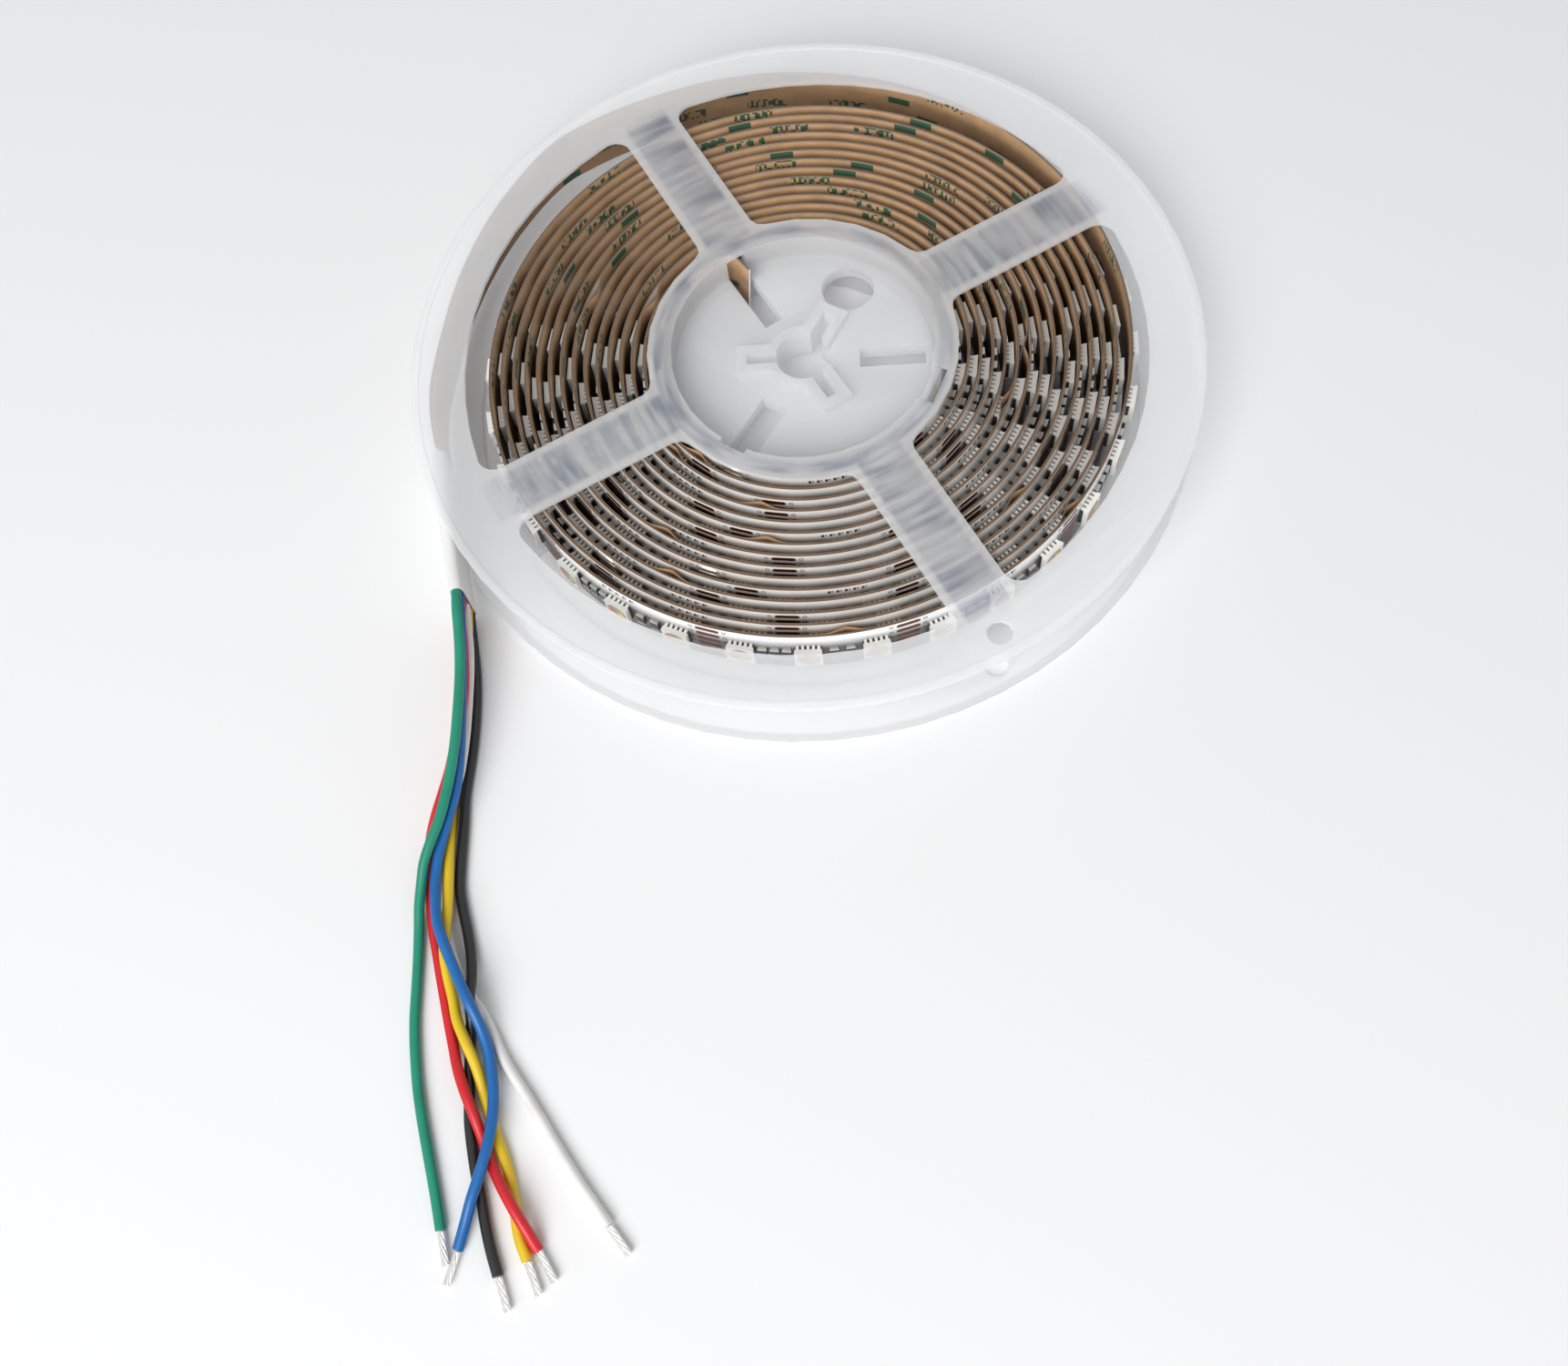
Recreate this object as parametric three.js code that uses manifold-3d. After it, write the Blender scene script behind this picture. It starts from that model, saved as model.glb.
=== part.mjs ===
// LED strip light reel: LED tape wound on edge between the flanges of a two-part plastic
// spool, with its six-wire lead coming out at the rim.
//
// Millimetres, +Z up. The spool's axis is the Z axis, and its lower rim rests on z = 0.
// Azimuths are in degrees, counted anticlockwise from +X as seen from above.

import * as THREE from "three";
import { mergeVertices } from "three/addons/utils/BufferGeometryUtils.js";
import Module from "manifold-3d";

const wasm = await Module();
wasm.setup();

// The LED tape: a flexible board on adhesive, with its peel-off backing paper.
const TAPE_WIDTH = 12;
const BOARD_THICKNESS = 0.5;
const LINER_THICKNESS = 0.15;
const PEEL_GAP = 0.06;
const LED_SIZE = 5;
const LED_HEIGHT = 1.5;
const LED_PITCH = 11.9;
const LED_ROOT = 0.25;
const LED_END_MARGIN = 5.55;

// The winding.
const TURN_SLACK = 0.07;
const FACETS_PER_TURN = 24;
const FIRST_AZIMUTH = 120;
const TIGHT_TURNS = 14 + 7 / 12;
const WINDING_CLEARANCE = 0.45;

// The spool's flanges.
const FLANGE_RADIUS = 75;
const FLANGE_PLATE = 0.9;
const LIP_HEIGHT = 0.3;
const LIP_WIDTH = 1.5;
const TAPE_SIDE_CLEARANCE = 0.3;
const RIM_WIDTH = 10.35;
const HUB_RING_WIDTH = 2.8;
const SPOKE_COUNT = 4;
const SPOKE_AZIMUTH = 20;
const SPOKE_WIDTH = 11.9;
const OUTER_CORNER_RADIUS = 3.2;
const INNER_CORNER_RADIUS = 2.6;
const TIE_HOLE_RADIUS = 2.35;
const TIE_HOLE_INSET = 4.8;
const TIE_HOLE_AZIMUTH = 289.3;

// The spool's hub.
const HUB_OPENING_RADIUS = 25;
const HUB_WALL = 1.8;
const FLOOR_THICKNESS = 1.5;
const BORE_RADIUS = 5.3;
const COLLAR_WIDTH = 1.8;
const COLLAR_HEIGHT = 2;
const KEY_COUNT = 3;
const KEY_AZIMUTH = 52;
const KEY_SLOT_WIDTH = 2.4;
const KEY_SLOT_REACH = 10.8;
const KEY_WALL = 1.9;
const FLOOR_SLOT_INNER = 10.8;
const FLOOR_SLOT_WIDTH = 4.2;
const FLOOR_SLOT_END_WALL = 1.6;
const FLOOR_SLOT_AZIMUTH = 352;
const TAIL_SLOT_WIDTH = 4;
const TAIL_SLOT_AZIMUTH = 112;
const NOTCH_SLOT_WIDTH = 5.4;
const NOTCH_SLOT_AZIMUTH = 230;
const FINGER_HOLE_RADIUS = 5.2;
const FINGER_HOLE_REACH = 18.9;
const FINGER_HOLE_AZIMUTH = 53;
const CATCH_AZIMUTH = 328;
const CATCH_WIDTH = 7.6;
const CATCH_CLEARANCE = 0.3;

// The lead.
const WIRE_DIAMETER = 1.9;
const WIRE_SIDES = 8;
const WIRE_STEPS = 29;
const TIP_DIAMETER = 1.3;
const TIP_LENGTH = 5.2;
const SLEEVE_THICKNESS = 2.6;
const SLEEVE_CLEARANCE = 0.3;

const FLANGE_STACK = LIP_HEIGHT + FLANGE_PLATE;
const FLANGE_GAP = TAPE_WIDTH + 2 * TAPE_SIDE_CLEARANCE;
const SPOOL_HEIGHT = FLANGE_GAP + 2 * FLANGE_STACK;
const MID_HEIGHT = SPOOL_HEIGHT / 2;
const PLATE_TOP = SPOOL_HEIGHT - LIP_HEIGHT;
const PLATE_UNDERSIDE = SPOOL_HEIGHT - FLANGE_STACK;
const FLOOR_TOP = MID_HEIGHT + FLOOR_THICKNESS;
const BARREL_RADIUS = HUB_OPENING_RADIUS + HUB_WALL;
const WINDOW_OUTER_RADIUS = FLANGE_RADIUS - RIM_WIDTH;
const WINDOW_INNER_RADIUS = BARREL_RADIUS + HUB_RING_WIDTH;
const TAPE_BOTTOM = FLANGE_STACK + TAPE_SIDE_CLEARANCE;
const TAPE_TOP = TAPE_BOTTOM + TAPE_WIDTH;
const TURN_PITCH = BOARD_THICKNESS + PEEL_GAP + LINER_THICKNESS + LED_HEIGHT + TURN_SLACK;
const FIRST_RADIUS = BARREL_RADIUS + WINDING_CLEARANCE + LINER_THICKNESS + PEEL_GAP / 2;
const WOUND_RADIUS = FIRST_RADIUS + TURN_PITCH * TIGHT_TURNS;
const CUT_MARGIN = 1;

const RIM_FACETS = 60;
const HUB_FACETS = 30;

function radians(degrees) {
  return (degrees * Math.PI) / 180;
}

/** A point in plan at a radius and an azimuth from the spool's axis. */
function polar(radius, azimuth) {
  const angle = radians(azimuth);
  return new THREE.Vector2(radius * Math.cos(angle), radius * Math.sin(angle));
}

/** Points on an arc about a centre, both ends included. */
function arc(centre, radius, from, to, steps) {
  return Array.from({ length: steps + 1 }, (_, i) =>
    polar(radius, from + ((to - from) * i) / steps).add(centre),
  );
}

function circle(centre, radius, steps) {
  return arc(centre, radius, 0, 360, steps).slice(0, -1);
}

/** A closed solid from any closed geometry. */
function solid(geometry) {
  const bare = geometry.clone();
  bare.deleteAttribute("normal");
  bare.deleteAttribute("uv");
  const merged = mergeVertices(bare, 1e-5);
  return new wasm.Manifold(
    new wasm.Mesh({
      numProp: 3,
      vertProperties: new Float32Array(merged.attributes.position.array),
      triVerts: new Uint32Array(merged.index.array),
    }),
  );
}

/** The geometry of a solid, with flat faces. */
function geometryOf(body) {
  const mesh = body.getMesh();
  const geometry = new THREE.BufferGeometry();
  geometry.setAttribute("position", new THREE.BufferAttribute(mesh.vertProperties, 3));
  geometry.setIndex(new THREE.BufferAttribute(mesh.triVerts, 1));
  const flat = geometry.toNonIndexed();
  flat.computeVertexNormals();
  return flat;
}

/** An upright prism on a closed outline, with optional holes, from one height to another. */
function prism(outline, from, to, holes = []) {
  const shape = new THREE.Shape(outline);
  shape.holes = holes.map((hole) => new THREE.Path(hole));
  const geometry = new THREE.ExtrudeGeometry(shape, { depth: to - from, bevelEnabled: false });
  return geometry.translate(0, 0, from);
}

/** A slot in plan along an azimuth, from one reach to another. */
function slotOutline(azimuth, inner, outer, width) {
  const along = polar(1, azimuth);
  const across = polar(width / 2, azimuth + 90);
  return [
    along.clone().multiplyScalar(inner).sub(across),
    along.clone().multiplyScalar(outer).sub(across),
    along.clone().multiplyScalar(outer).add(across),
    along.clone().multiplyScalar(inner).add(across),
  ];
}

/** The round-cornered window between one spoke and the next. */
function windowOutline(spokeAzimuth) {
  const span = 360 / SPOKE_COUNT;
  const half = SPOKE_WIDTH / 2;
  const outerReach = WINDOW_OUTER_RADIUS - OUTER_CORNER_RADIUS;
  const innerReach = WINDOW_INNER_RADIUS + INNER_CORNER_RADIUS;
  const outer = THREE.MathUtils.radToDeg(Math.asin((half + OUTER_CORNER_RADIUS) / outerReach));
  const inner = THREE.MathUtils.radToDeg(Math.asin((half + INNER_CORNER_RADIUS) / innerReach));
  const origin = new THREE.Vector2(0, 0);
  const points = [
    ...arc(polar(outerReach, outer), OUTER_CORNER_RADIUS, -90, outer, 5),
    ...arc(origin, WINDOW_OUTER_RADIUS, outer, span - outer, 12).slice(1, -1),
    ...arc(polar(outerReach, span - outer), OUTER_CORNER_RADIUS, span - outer, span + 90, 5),
    ...arc(polar(innerReach, span - inner), INNER_CORNER_RADIUS, span + 90, span + 180 - inner, 2),
    ...arc(origin, WINDOW_INNER_RADIUS, span - inner, inner, 5).slice(1, -1),
    ...arc(polar(innerReach, inner), INNER_CORNER_RADIUS, inner + 180, 270, 2),
  ];
  return points.map((point) => point.rotateAround(origin, radians(spokeAzimuth)));
}

/** The flange plate with its windows, its tie hole and the opening of the hub. */
function flangePlate() {
  const origin = new THREE.Vector2(0, 0);
  const windows = Array.from({ length: SPOKE_COUNT }, (_, i) =>
    windowOutline(SPOKE_AZIMUTH + (360 / SPOKE_COUNT) * i),
  );
  const tieCentre = polar(FLANGE_RADIUS - TIE_HOLE_INSET, TIE_HOLE_AZIMUTH);
  const tieHole = circle(tieCentre, TIE_HOLE_RADIUS, 10);
  const hubOpening = circle(origin, HUB_OPENING_RADIUS, HUB_FACETS);
  const rim = circle(origin, FLANGE_RADIUS, RIM_FACETS);
  return solid(prism(rim, PLATE_UNDERSIDE, PLATE_TOP, [...windows, tieHole, hubOpening]));
}

/** The raised edge round the flange's rim. */
function rimLip() {
  const root = FLANGE_PLATE / 2;
  const profile = [
    new THREE.Vector2(FLANGE_RADIUS - LIP_WIDTH, PLATE_TOP - root),
    new THREE.Vector2(FLANGE_RADIUS, PLATE_TOP - root),
    new THREE.Vector2(FLANGE_RADIUS, SPOOL_HEIGHT),
    new THREE.Vector2(FLANGE_RADIUS - LIP_WIDTH, SPOOL_HEIGHT),
    new THREE.Vector2(FLANGE_RADIUS - LIP_WIDTH, PLATE_TOP - root),
  ];
  const ring = new THREE.LatheGeometry(profile, RIM_FACETS);
  return solid(ring.rotateX(Math.PI / 2).rotateZ(Math.PI / 2));
}

/** Half of the hub: a cup whose floor lies on the spool's mid plane. */
function hubCup() {
  const origin = new THREE.Vector2(0, 0);
  const wall = prism(circle(origin, BARREL_RADIUS, HUB_FACETS), MID_HEIGHT, PLATE_TOP, [
    circle(origin, HUB_OPENING_RADIUS, HUB_FACETS),
  ]);
  const floorRadius = HUB_OPENING_RADIUS + HUB_WALL / 2;
  const floor = prism(circle(origin, floorRadius, HUB_FACETS), MID_HEIGHT, FLOOR_TOP);
  return solid(wall).add(solid(floor));
}

/** The C-shaped collar round the bore, with a walled key slot at each end and one between. */
function boreCollar() {
  const origin = new THREE.Vector2(0, 0);
  const top = FLOOR_TOP + COLLAR_HEIGHT;
  const root = FLOOR_TOP - FLOOR_THICKNESS / 2;
  const last = KEY_AZIMUTH + (360 / KEY_COUNT) * (KEY_COUNT - 1);
  const outline = [
    ...arc(origin, BORE_RADIUS + COLLAR_WIDTH, KEY_AZIMUTH, last, 14),
    ...arc(origin, BORE_RADIUS / 2, last, KEY_AZIMUTH, 6),
  ];
  let collar = solid(prism(outline, root, top));
  for (let i = 0; i < KEY_COUNT; i += 1) {
    const azimuth = KEY_AZIMUTH + (360 / KEY_COUNT) * i;
    const width = KEY_SLOT_WIDTH + 2 * KEY_WALL;
    const arm = slotOutline(azimuth, BORE_RADIUS / 2, KEY_SLOT_REACH + KEY_WALL, width);
    collar = collar.add(solid(prism(arm, root, top)));
  }
  return collar;
}

/** What is cut through the hub's floor: bore, key slots, finger hole and floor slots. */
function floorCuts() {
  const origin = new THREE.Vector2(0, 0);
  const from = MID_HEIGHT - CUT_MARGIN;
  const to = FLOOR_TOP + COLLAR_HEIGHT + CUT_MARGIN;
  const finger = circle(polar(FINGER_HOLE_REACH, FINGER_HOLE_AZIMUTH), FINGER_HOLE_RADIUS, 16);
  const slotEnd = HUB_OPENING_RADIUS - FLOOR_SLOT_END_WALL;
  let cuts = solid(prism(circle(origin, BORE_RADIUS, 18), from, to));
  cuts = cuts.add(solid(prism(finger, from, to)));
  const closed = slotOutline(FLOOR_SLOT_AZIMUTH, FLOOR_SLOT_INNER, slotEnd, FLOOR_SLOT_WIDTH);
  cuts = cuts.add(solid(prism(closed, from, to)));
  for (let i = 0; i < KEY_COUNT; i += 1) {
    const azimuth = KEY_AZIMUTH + (360 / KEY_COUNT) * i;
    const key = slotOutline(azimuth, BORE_RADIUS / 2, KEY_SLOT_REACH, KEY_SLOT_WIDTH);
    cuts = cuts.add(solid(prism(key, from, to)));
  }
  return cuts;
}

/** The two slots that run out through the barrel, under the flange's inner ring. */
function barrelCuts() {
  const from = MID_HEIGHT - CUT_MARGIN;
  const outer = BARREL_RADIUS + CUT_MARGIN;
  const tail = slotOutline(TAIL_SLOT_AZIMUTH, FLOOR_SLOT_INNER, outer, TAIL_SLOT_WIDTH);
  const notch = slotOutline(NOTCH_SLOT_AZIMUTH, FLOOR_SLOT_INNER, outer, NOTCH_SLOT_WIDTH);
  const rimNotch = slotOutline(
    NOTCH_SLOT_AZIMUTH,
    FLOOR_SLOT_INNER,
    HUB_OPENING_RADIUS + HUB_WALL / 2,
    NOTCH_SLOT_WIDTH,
  );
  return solid(prism(tail, from, PLATE_UNDERSIDE))
    .add(solid(prism(notch, from, PLATE_UNDERSIDE)))
    .add(solid(prism(rimNotch, from, PLATE_TOP + CUT_MARGIN)));
}

/** One moulded half of the spool, as it lies in the upper position. */
function spoolHalf() {
  return flangePlate()
    .add(rimLip())
    .add(hubCup())
    .add(boreCollar())
    .subtract(floorCuts())
    .subtract(barrelCuts());
}

/** The opening in the upper half that the lower half's catch snaps into. */
function catchOpening() {
  const width = CATCH_WIDTH + 2 * CATCH_CLEARANCE;
  const inner = HUB_OPENING_RADIUS - CUT_MARGIN;
  const outer = BARREL_RADIUS + CUT_MARGIN;
  const outline = slotOutline(CATCH_AZIMUTH, inner, outer, width);
  return solid(prism(outline, FLOOR_TOP, PLATE_TOP + CUT_MARGIN));
}

/** The catch that stands on the lower half's barrel. */
function catchTab() {
  const inner = HUB_OPENING_RADIUS + CATCH_CLEARANCE;
  const outline = slotOutline(CATCH_AZIMUTH, inner, BARREL_RADIUS - CATCH_CLEARANCE, CATCH_WIDTH);
  return solid(prism(outline, MID_HEIGHT - HUB_WALL, PLATE_TOP - CATCH_CLEARANCE));
}

/** The path that the catch takes up through the upper half's floor and barrel. */
function catchPassage() {
  const width = CATCH_WIDTH + 2 * CATCH_CLEARANCE;
  const outline = slotOutline(
    CATCH_AZIMUTH,
    HUB_OPENING_RADIUS,
    BARREL_RADIUS + CUT_MARGIN,
    width,
  );
  return solid(prism(outline, MID_HEIGHT - CUT_MARGIN, FLOOR_TOP + CUT_MARGIN));
}

function upperHalfGeometry() {
  return geometryOf(spoolHalf().subtract(catchOpening()).subtract(catchPassage()));
}

function lowerHalfGeometry() {
  const mirrored = spoolHalf().mirror([0, 0, 1]).translate([0, 0, SPOOL_HEIGHT]);
  return geometryOf(mirrored.add(catchTab()));
}

/** Where the loose outermost turn lies, as azimuth and share of the way from winding to rim. */
const LOOSE_TURN = [
  [345, 0.036],
  [360, 0.085],
  [375, 0.148],
  [390, 0.218],
  [405, 0.302],
  [420, 0.386],
  [435, 0.477],
  [450, 0.581],
  [465, 0.686],
  [478, 0.819],
  [484, 0.874],
  [495, 0.791],
  [510, 0.693],
  [525, 0.658],
  [537, 0.735],
  [546, 0.728],
];

/** Where the tape's inner end turns in through the barrel, as reach and sideways offset. */
const TAIL_TURN = [
  [19.5, -0.1],
  [22.5, 0],
  [24.8, 0.15],
  [26.1, 0.7],
  [26.9, 1.8],
  [27.2, 3.2],
];

/** The line between the tape's board and its backing paper, from the hub to the rim. */
function tapeLine() {
  const along = polar(1, TAIL_SLOT_AZIMUTH);
  const across = polar(1, TAIL_SLOT_AZIMUTH + 90);
  const points = TAIL_TURN.map(([reach, side]) =>
    along.clone().multiplyScalar(reach).addScaledVector(across, side),
  );
  const count = Math.round(TIGHT_TURNS * FACETS_PER_TURN);
  for (let i = 1; i <= count; i += 1) {
    const radius = FIRST_RADIUS + (TURN_PITCH * i) / FACETS_PER_TURN;
    points.push(polar(radius, FIRST_AZIMUTH + (360 * i) / FACETS_PER_TURN));
  }
  const spare = FLANGE_RADIUS - WOUND_RADIUS;
  const loose = LOOSE_TURN.map(([azimuth, share]) => polar(WOUND_RADIUS + spare * share, azimuth));
  return points.concat(loose);
}

/** A line moved sideways in plan, to the right of its direction if the distance is positive. */
function offsetLine(points, distance) {
  return points.map((point, i) => {
    const before = points[Math.max(i - 1, 0)];
    const after = points[Math.min(i + 1, points.length - 1)];
    const arriving = i > 0 ? point.clone().sub(before).normalize() : null;
    const leaving = i < points.length - 1 ? after.clone().sub(point).normalize() : null;
    const first = arriving ?? leaving;
    const second = leaving ?? arriving;
    const bisector = first.clone().add(second).normalize();
    const stretch = 1 / Math.max(bisector.dot(first), 0.5);
    return new THREE.Vector2(bisector.y, -bisector.x).multiplyScalar(distance * stretch).add(point);
  });
}

/** A band on edge that follows a line in plan, between two sideways offsets. */
function band(line, left, right, bottom, top) {
  const outline = offsetLine(line, right).concat(offsetLine(line, left).reverse());
  return prism(outline, bottom, top);
}

/** Points spaced evenly along a line, with the line's direction at each. */
function stationsAlong(line, spacing, from) {
  const stations = [];
  let travelled = 0;
  let next = from;
  for (let i = 1; i < line.length; i += 1) {
    const step = line[i].clone().sub(line[i - 1]);
    const length = step.length();
    while (next <= travelled + length) {
      const point = line[i - 1].clone().addScaledVector(step, (next - travelled) / length);
      stations.push({ point, direction: step.clone().divideScalar(length) });
      next += spacing;
    }
    travelled += length;
  }
  return stations;
}

function lineLength(line) {
  return line.slice(1).reduce((sum, point, i) => sum + point.distanceTo(line[i]), 0);
}

/** One LED package on the board's outer face, with the direction pointing back along the tape. */
function ledPackage({ point, direction }) {
  const height = LED_HEIGHT + LED_ROOT;
  const body = new THREE.BoxGeometry(LED_SIZE, height, LED_SIZE);
  const reach = PEEL_GAP / 2 + BOARD_THICKNESS - LED_ROOT + height / 2;
  body.translate(0, reach, 0);
  body.rotateZ(Math.atan2(direction.y, direction.x));
  body.translate(point.x, point.y, (TAPE_BOTTOM + TAPE_TOP) / 2);
  return solid(body);
}

/** The tape's board with the LED packages of its outermost turn. */
function tapeGeometry() {
  const line = tapeLine();
  const inner = PEEL_GAP / 2;
  let tape = solid(band(line, inner, inner + BOARD_THICKNESS, TAPE_BOTTOM, TAPE_TOP));
  const fromEnd = line.slice(-(FACETS_PER_TURN + 2)).reverse();
  const reach = lineLength(fromEnd) - LED_SIZE;
  const count = Math.floor((reach - LED_END_MARGIN) / LED_PITCH) + 1;
  const stations = stationsAlong(fromEnd, LED_PITCH, LED_END_MARGIN).slice(0, count);
  for (const station of stations) {
    tape = tape.add(ledPackage(station));
  }
  return geometryOf(tape);
}

/** The tape's peel-off backing paper, on the side towards the hub. */
function linerGeometry() {
  const outer = -PEEL_GAP / 2;
  return band(tapeLine(), outer - LINER_THICKNESS, outer, TAPE_BOTTOM, TAPE_TOP);
}

/** The line of the flat sleeve, from the tape's outer end to where the wires come out. */
const SLEEVE_LINE = [
  [-71.1, -8.2],
  [-71, -17],
  [-70.6, -28],
  [-70, -37.4],
];

function sleeveGeometry() {
  const line = SLEEVE_LINE.map(([x, y]) => new THREE.Vector2(x, y));
  const half = SLEEVE_THICKNESS / 2;
  return band(line, -half, half, TAPE_BOTTOM, TAPE_TOP);
}

/** The wires' centrelines, from the sleeve to where their insulation ends. */
const WIRE_ROUTES = {
  green: [
    [-70, -37.8, 12.45], [-70.17, -41.65, 12.63], [-70.38, -45.25, 11.75],
    [-70.71, -49.02, 10.82], [-71.18, -52.82, 10.06], [-71.73, -56.47, 9.68],
    [-72.37, -60.31, 9.44], [-73.13, -64.09, 8.9], [-74.01, -67.65, 8.32], [-75.13, -71.32, 7.6],
    [-76.42, -74.96, 7.1], [-77.78, -78.38, 6.64], [-79.66, -81.71, 5.88], [-81.42, -85.01, 4.82],
    [-82.49, -88.34, 3.58], [-83.42, -91.97, 2.5], [-83.97, -95.52, 1.57], [-84.48, -99.35, 1.07],
    [-84.95, -103.22, 1], [-85.43, -106.91, 1], [-85.93, -110.77, 1], [-86.19, -114.66, 1],
    [-86.26, -118.38, 1], [-86.22, -122.28, 1], [-85.97, -126.17, 1], [-85.62, -129.86, 1],
    [-85.2, -133.74, 1], [-84.77, -137.62, 1], [-84.41, -141.31, 1], [-84.1, -145.2, 1],
  ],
  blue: [
    [-70, -37.8, 10.47], [-70.14, -41.83, 10.29], [-70.54, -45.57, 9.34], [-70.97, -49.51, 8.4],
    [-71.48, -53.49, 7.69], [-71.97, -57.33, 7.38], [-72.47, -61.36, 7.07],
    [-73.05, -65.36, 6.52], [-73.78, -69.12, 5.88], [-74.81, -73.01, 5.23], [-76.23, -76.8, 4.84],
    [-77.75, -80.3, 4.14], [-79.09, -84.15, 3.95], [-79.98, -88.11, 3.71], [-80.12, -91.95, 4.2],
    [-79.9, -95.91, 5.14], [-79.12, -99.67, 5.38], [-78.05, -103.57, 4.9], [-76.8, -107.45, 5.07],
    [-75.57, -111.05, 5.05], [-74.47, -114.69, 3.6], [-73.67, -118.58, 2.72],
    [-73.45, -122.45, 2.48], [-73.51, -126.51, 2.73], [-74.03, -130.53, 3.2],
    [-75.05, -134.24, 3.68], [-76.59, -137.99, 3.44], [-78.36, -141.62, 2.97],
    [-79.95, -144.96, 1.78], [-81.6, -148.6, 1],
  ],
  red: [
    [-70, -37.8, 8.49], [-70.61, -41.68, 8.1], [-70.8, -45.51, 7.11], [-71.18, -49.55, 6.16],
    [-71.68, -53.62, 5.45], [-72.41, -57.5, 5.19], [-73.5, -61.52, 5.07], [-74.67, -65.51, 4.91],
    [-75.84, -69.3, 4.8], [-77.19, -73.22, 5.13], [-78.73, -77.06, 5], [-80.17, -80.58, 3.9],
    [-81.07, -84.39, 2.53], [-81.7, -88.35, 1.43], [-81.77, -92.28, 1], [-81.65, -96.44, 1],
    [-81.31, -100.39, 1], [-80.97, -104.54, 1], [-80.59, -108.69, 1], [-80.2, -112.63, 1.08],
    [-79.64, -116.72, 1.61], [-78.98, -120.7, 2.63], [-78.03, -124.5, 3.24],
    [-76.91, -128.49, 2.92], [-76.02, -132.4, 1.83], [-75.07, -136.21, 1.63],
    [-73.64, -139.97, 2.7], [-71.99, -143.75, 3.2], [-70.38, -147.32, 2.68], [-68.92, -150.83, 1],
  ],
  white: [
    [-70, -37.8, 6.51], [-70.13, -41.83, 5.83], [-70.33, -45.66, 4.88], [-70.82, -49.66, 3.92],
    [-71.49, -53.69, 3.19], [-72.1, -57.58, 2.95], [-72.76, -61.67, 2.95], [-73.58, -65.74, 2.95],
    [-74.56, -69.56, 2.96], [-76.06, -73.42, 3.16], [-78.01, -77.07, 2.94],
    [-79.52, -80.45, 1.64], [-79.49, -84.51, 1], [-79.56, -88.65, 1], [-79.58, -92.6, 1],
    [-79.38, -96.74, 1], [-78.68, -100.63, 1], [-77.73, -104.67, 1], [-76.36, -108.58, 1],
    [-74.49, -112.03, 1], [-73, -115.9, 1], [-71.71, -119.84, 1], [-70.1, -123.45, 1],
    [-68.25, -127.16, 1], [-66.49, -130.92, 1], [-64.86, -134.51, 1], [-63.1, -138.27, 1],
    [-61.26, -141.99, 1], [-59.41, -145.47, 1], [-57.4, -149.1, 1],
  ],
  yellow: [
    [-70, -37.8, 4.53], [-70.49, -41.71, 3.6], [-71.4, -45.44, 2.89], [-72.14, -49.4, 2.08],
    [-72.65, -53.39, 1.27], [-73.14, -57.25, 1], [-73.79, -61.3, 1], [-74.59, -65.33, 1],
    [-75.53, -69.12, 1], [-76.41, -73.13, 1], [-76.95, -77.2, 1], [-77.34, -80.95, 1.77],
    [-77.7, -85, 2.35], [-78.05, -89.07, 2.65], [-78.42, -92.95, 2.91], [-79.02, -97, 3.22],
    [-79.63, -100.85, 3.03], [-79.44, -104.92, 2.61], [-78.87, -108.98, 2.5],
    [-78.37, -112.83, 2.9], [-77.16, -116.73, 3.25], [-75.98, -120.6, 2.71],
    [-75.41, -124.31, 1.61], [-74.79, -128.32, 1.02], [-73.91, -132.33, 1], [-72.93, -136.11, 1],
    [-72.22, -140.15, 1], [-71.96, -144.24, 1], [-71.75, -148.15, 1], [-70.77, -152.12, 1],
  ],
  black: [
    [-70, -37.8, 2.55], [-70.21, -41.72, 1.35], [-70.21, -45.62, 1], [-70.24, -49.74, 1],
    [-70.51, -53.86, 1], [-70.99, -57.76, 1], [-71.63, -61.83, 1], [-72.44, -65.87, 1],
    [-73.38, -69.68, 1], [-74.28, -73.71, 1], [-74.82, -77.79, 1], [-75.4, -81.67, 1],
    [-76.04, -85.75, 1], [-76.51, -89.84, 1], [-76.27, -93.76, 1], [-75.79, -97.85, 1.04],
    [-75.48, -101.74, 1.46], [-75.46, -105.76, 2.37], [-75.96, -109.72, 3.17],
    [-76.31, -113.35, 1.8], [-77.03, -117.3, 1], [-77.52, -121.39, 1], [-77.84, -125.31, 1],
    [-78.13, -129.42, 1], [-78.02, -133.54, 1], [-77.75, -137.46, 1], [-77.26, -141.55, 1],
    [-76.9, -145.66, 1], [-76.39, -149.55, 1], [-75.6, -153.6, 1],
  ],
};

/** A round cord along its route. */
function cordGeometry(route, diameter, steps) {
  const curve = new THREE.CatmullRomCurve3(route.map(([x, y, z]) => new THREE.Vector3(x, y, z)));
  const section = new THREE.Shape(circle(new THREE.Vector2(0, 0), diameter / 2, WIRE_SIDES));
  return new THREE.ExtrudeGeometry(section, {
    steps,
    extrudePath: curve,
    bevelEnabled: false,
  });
}

/** The tinned end of a wire, straight on from its insulation. */
function tipGeometry(route) {
  const end = new THREE.Vector3(...route.at(-1));
  const before = new THREE.Vector3(...route.at(-2));
  const direction = end.clone().sub(before).setZ(0).normalize();
  const start = end.clone().addScaledVector(direction, SLEEVE_CLEARANCE);
  const tip = start.clone().addScaledVector(direction, TIP_LENGTH);
  return cordGeometry([start.toArray(), tip.toArray()], TIP_DIAMETER, 1);
}

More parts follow.
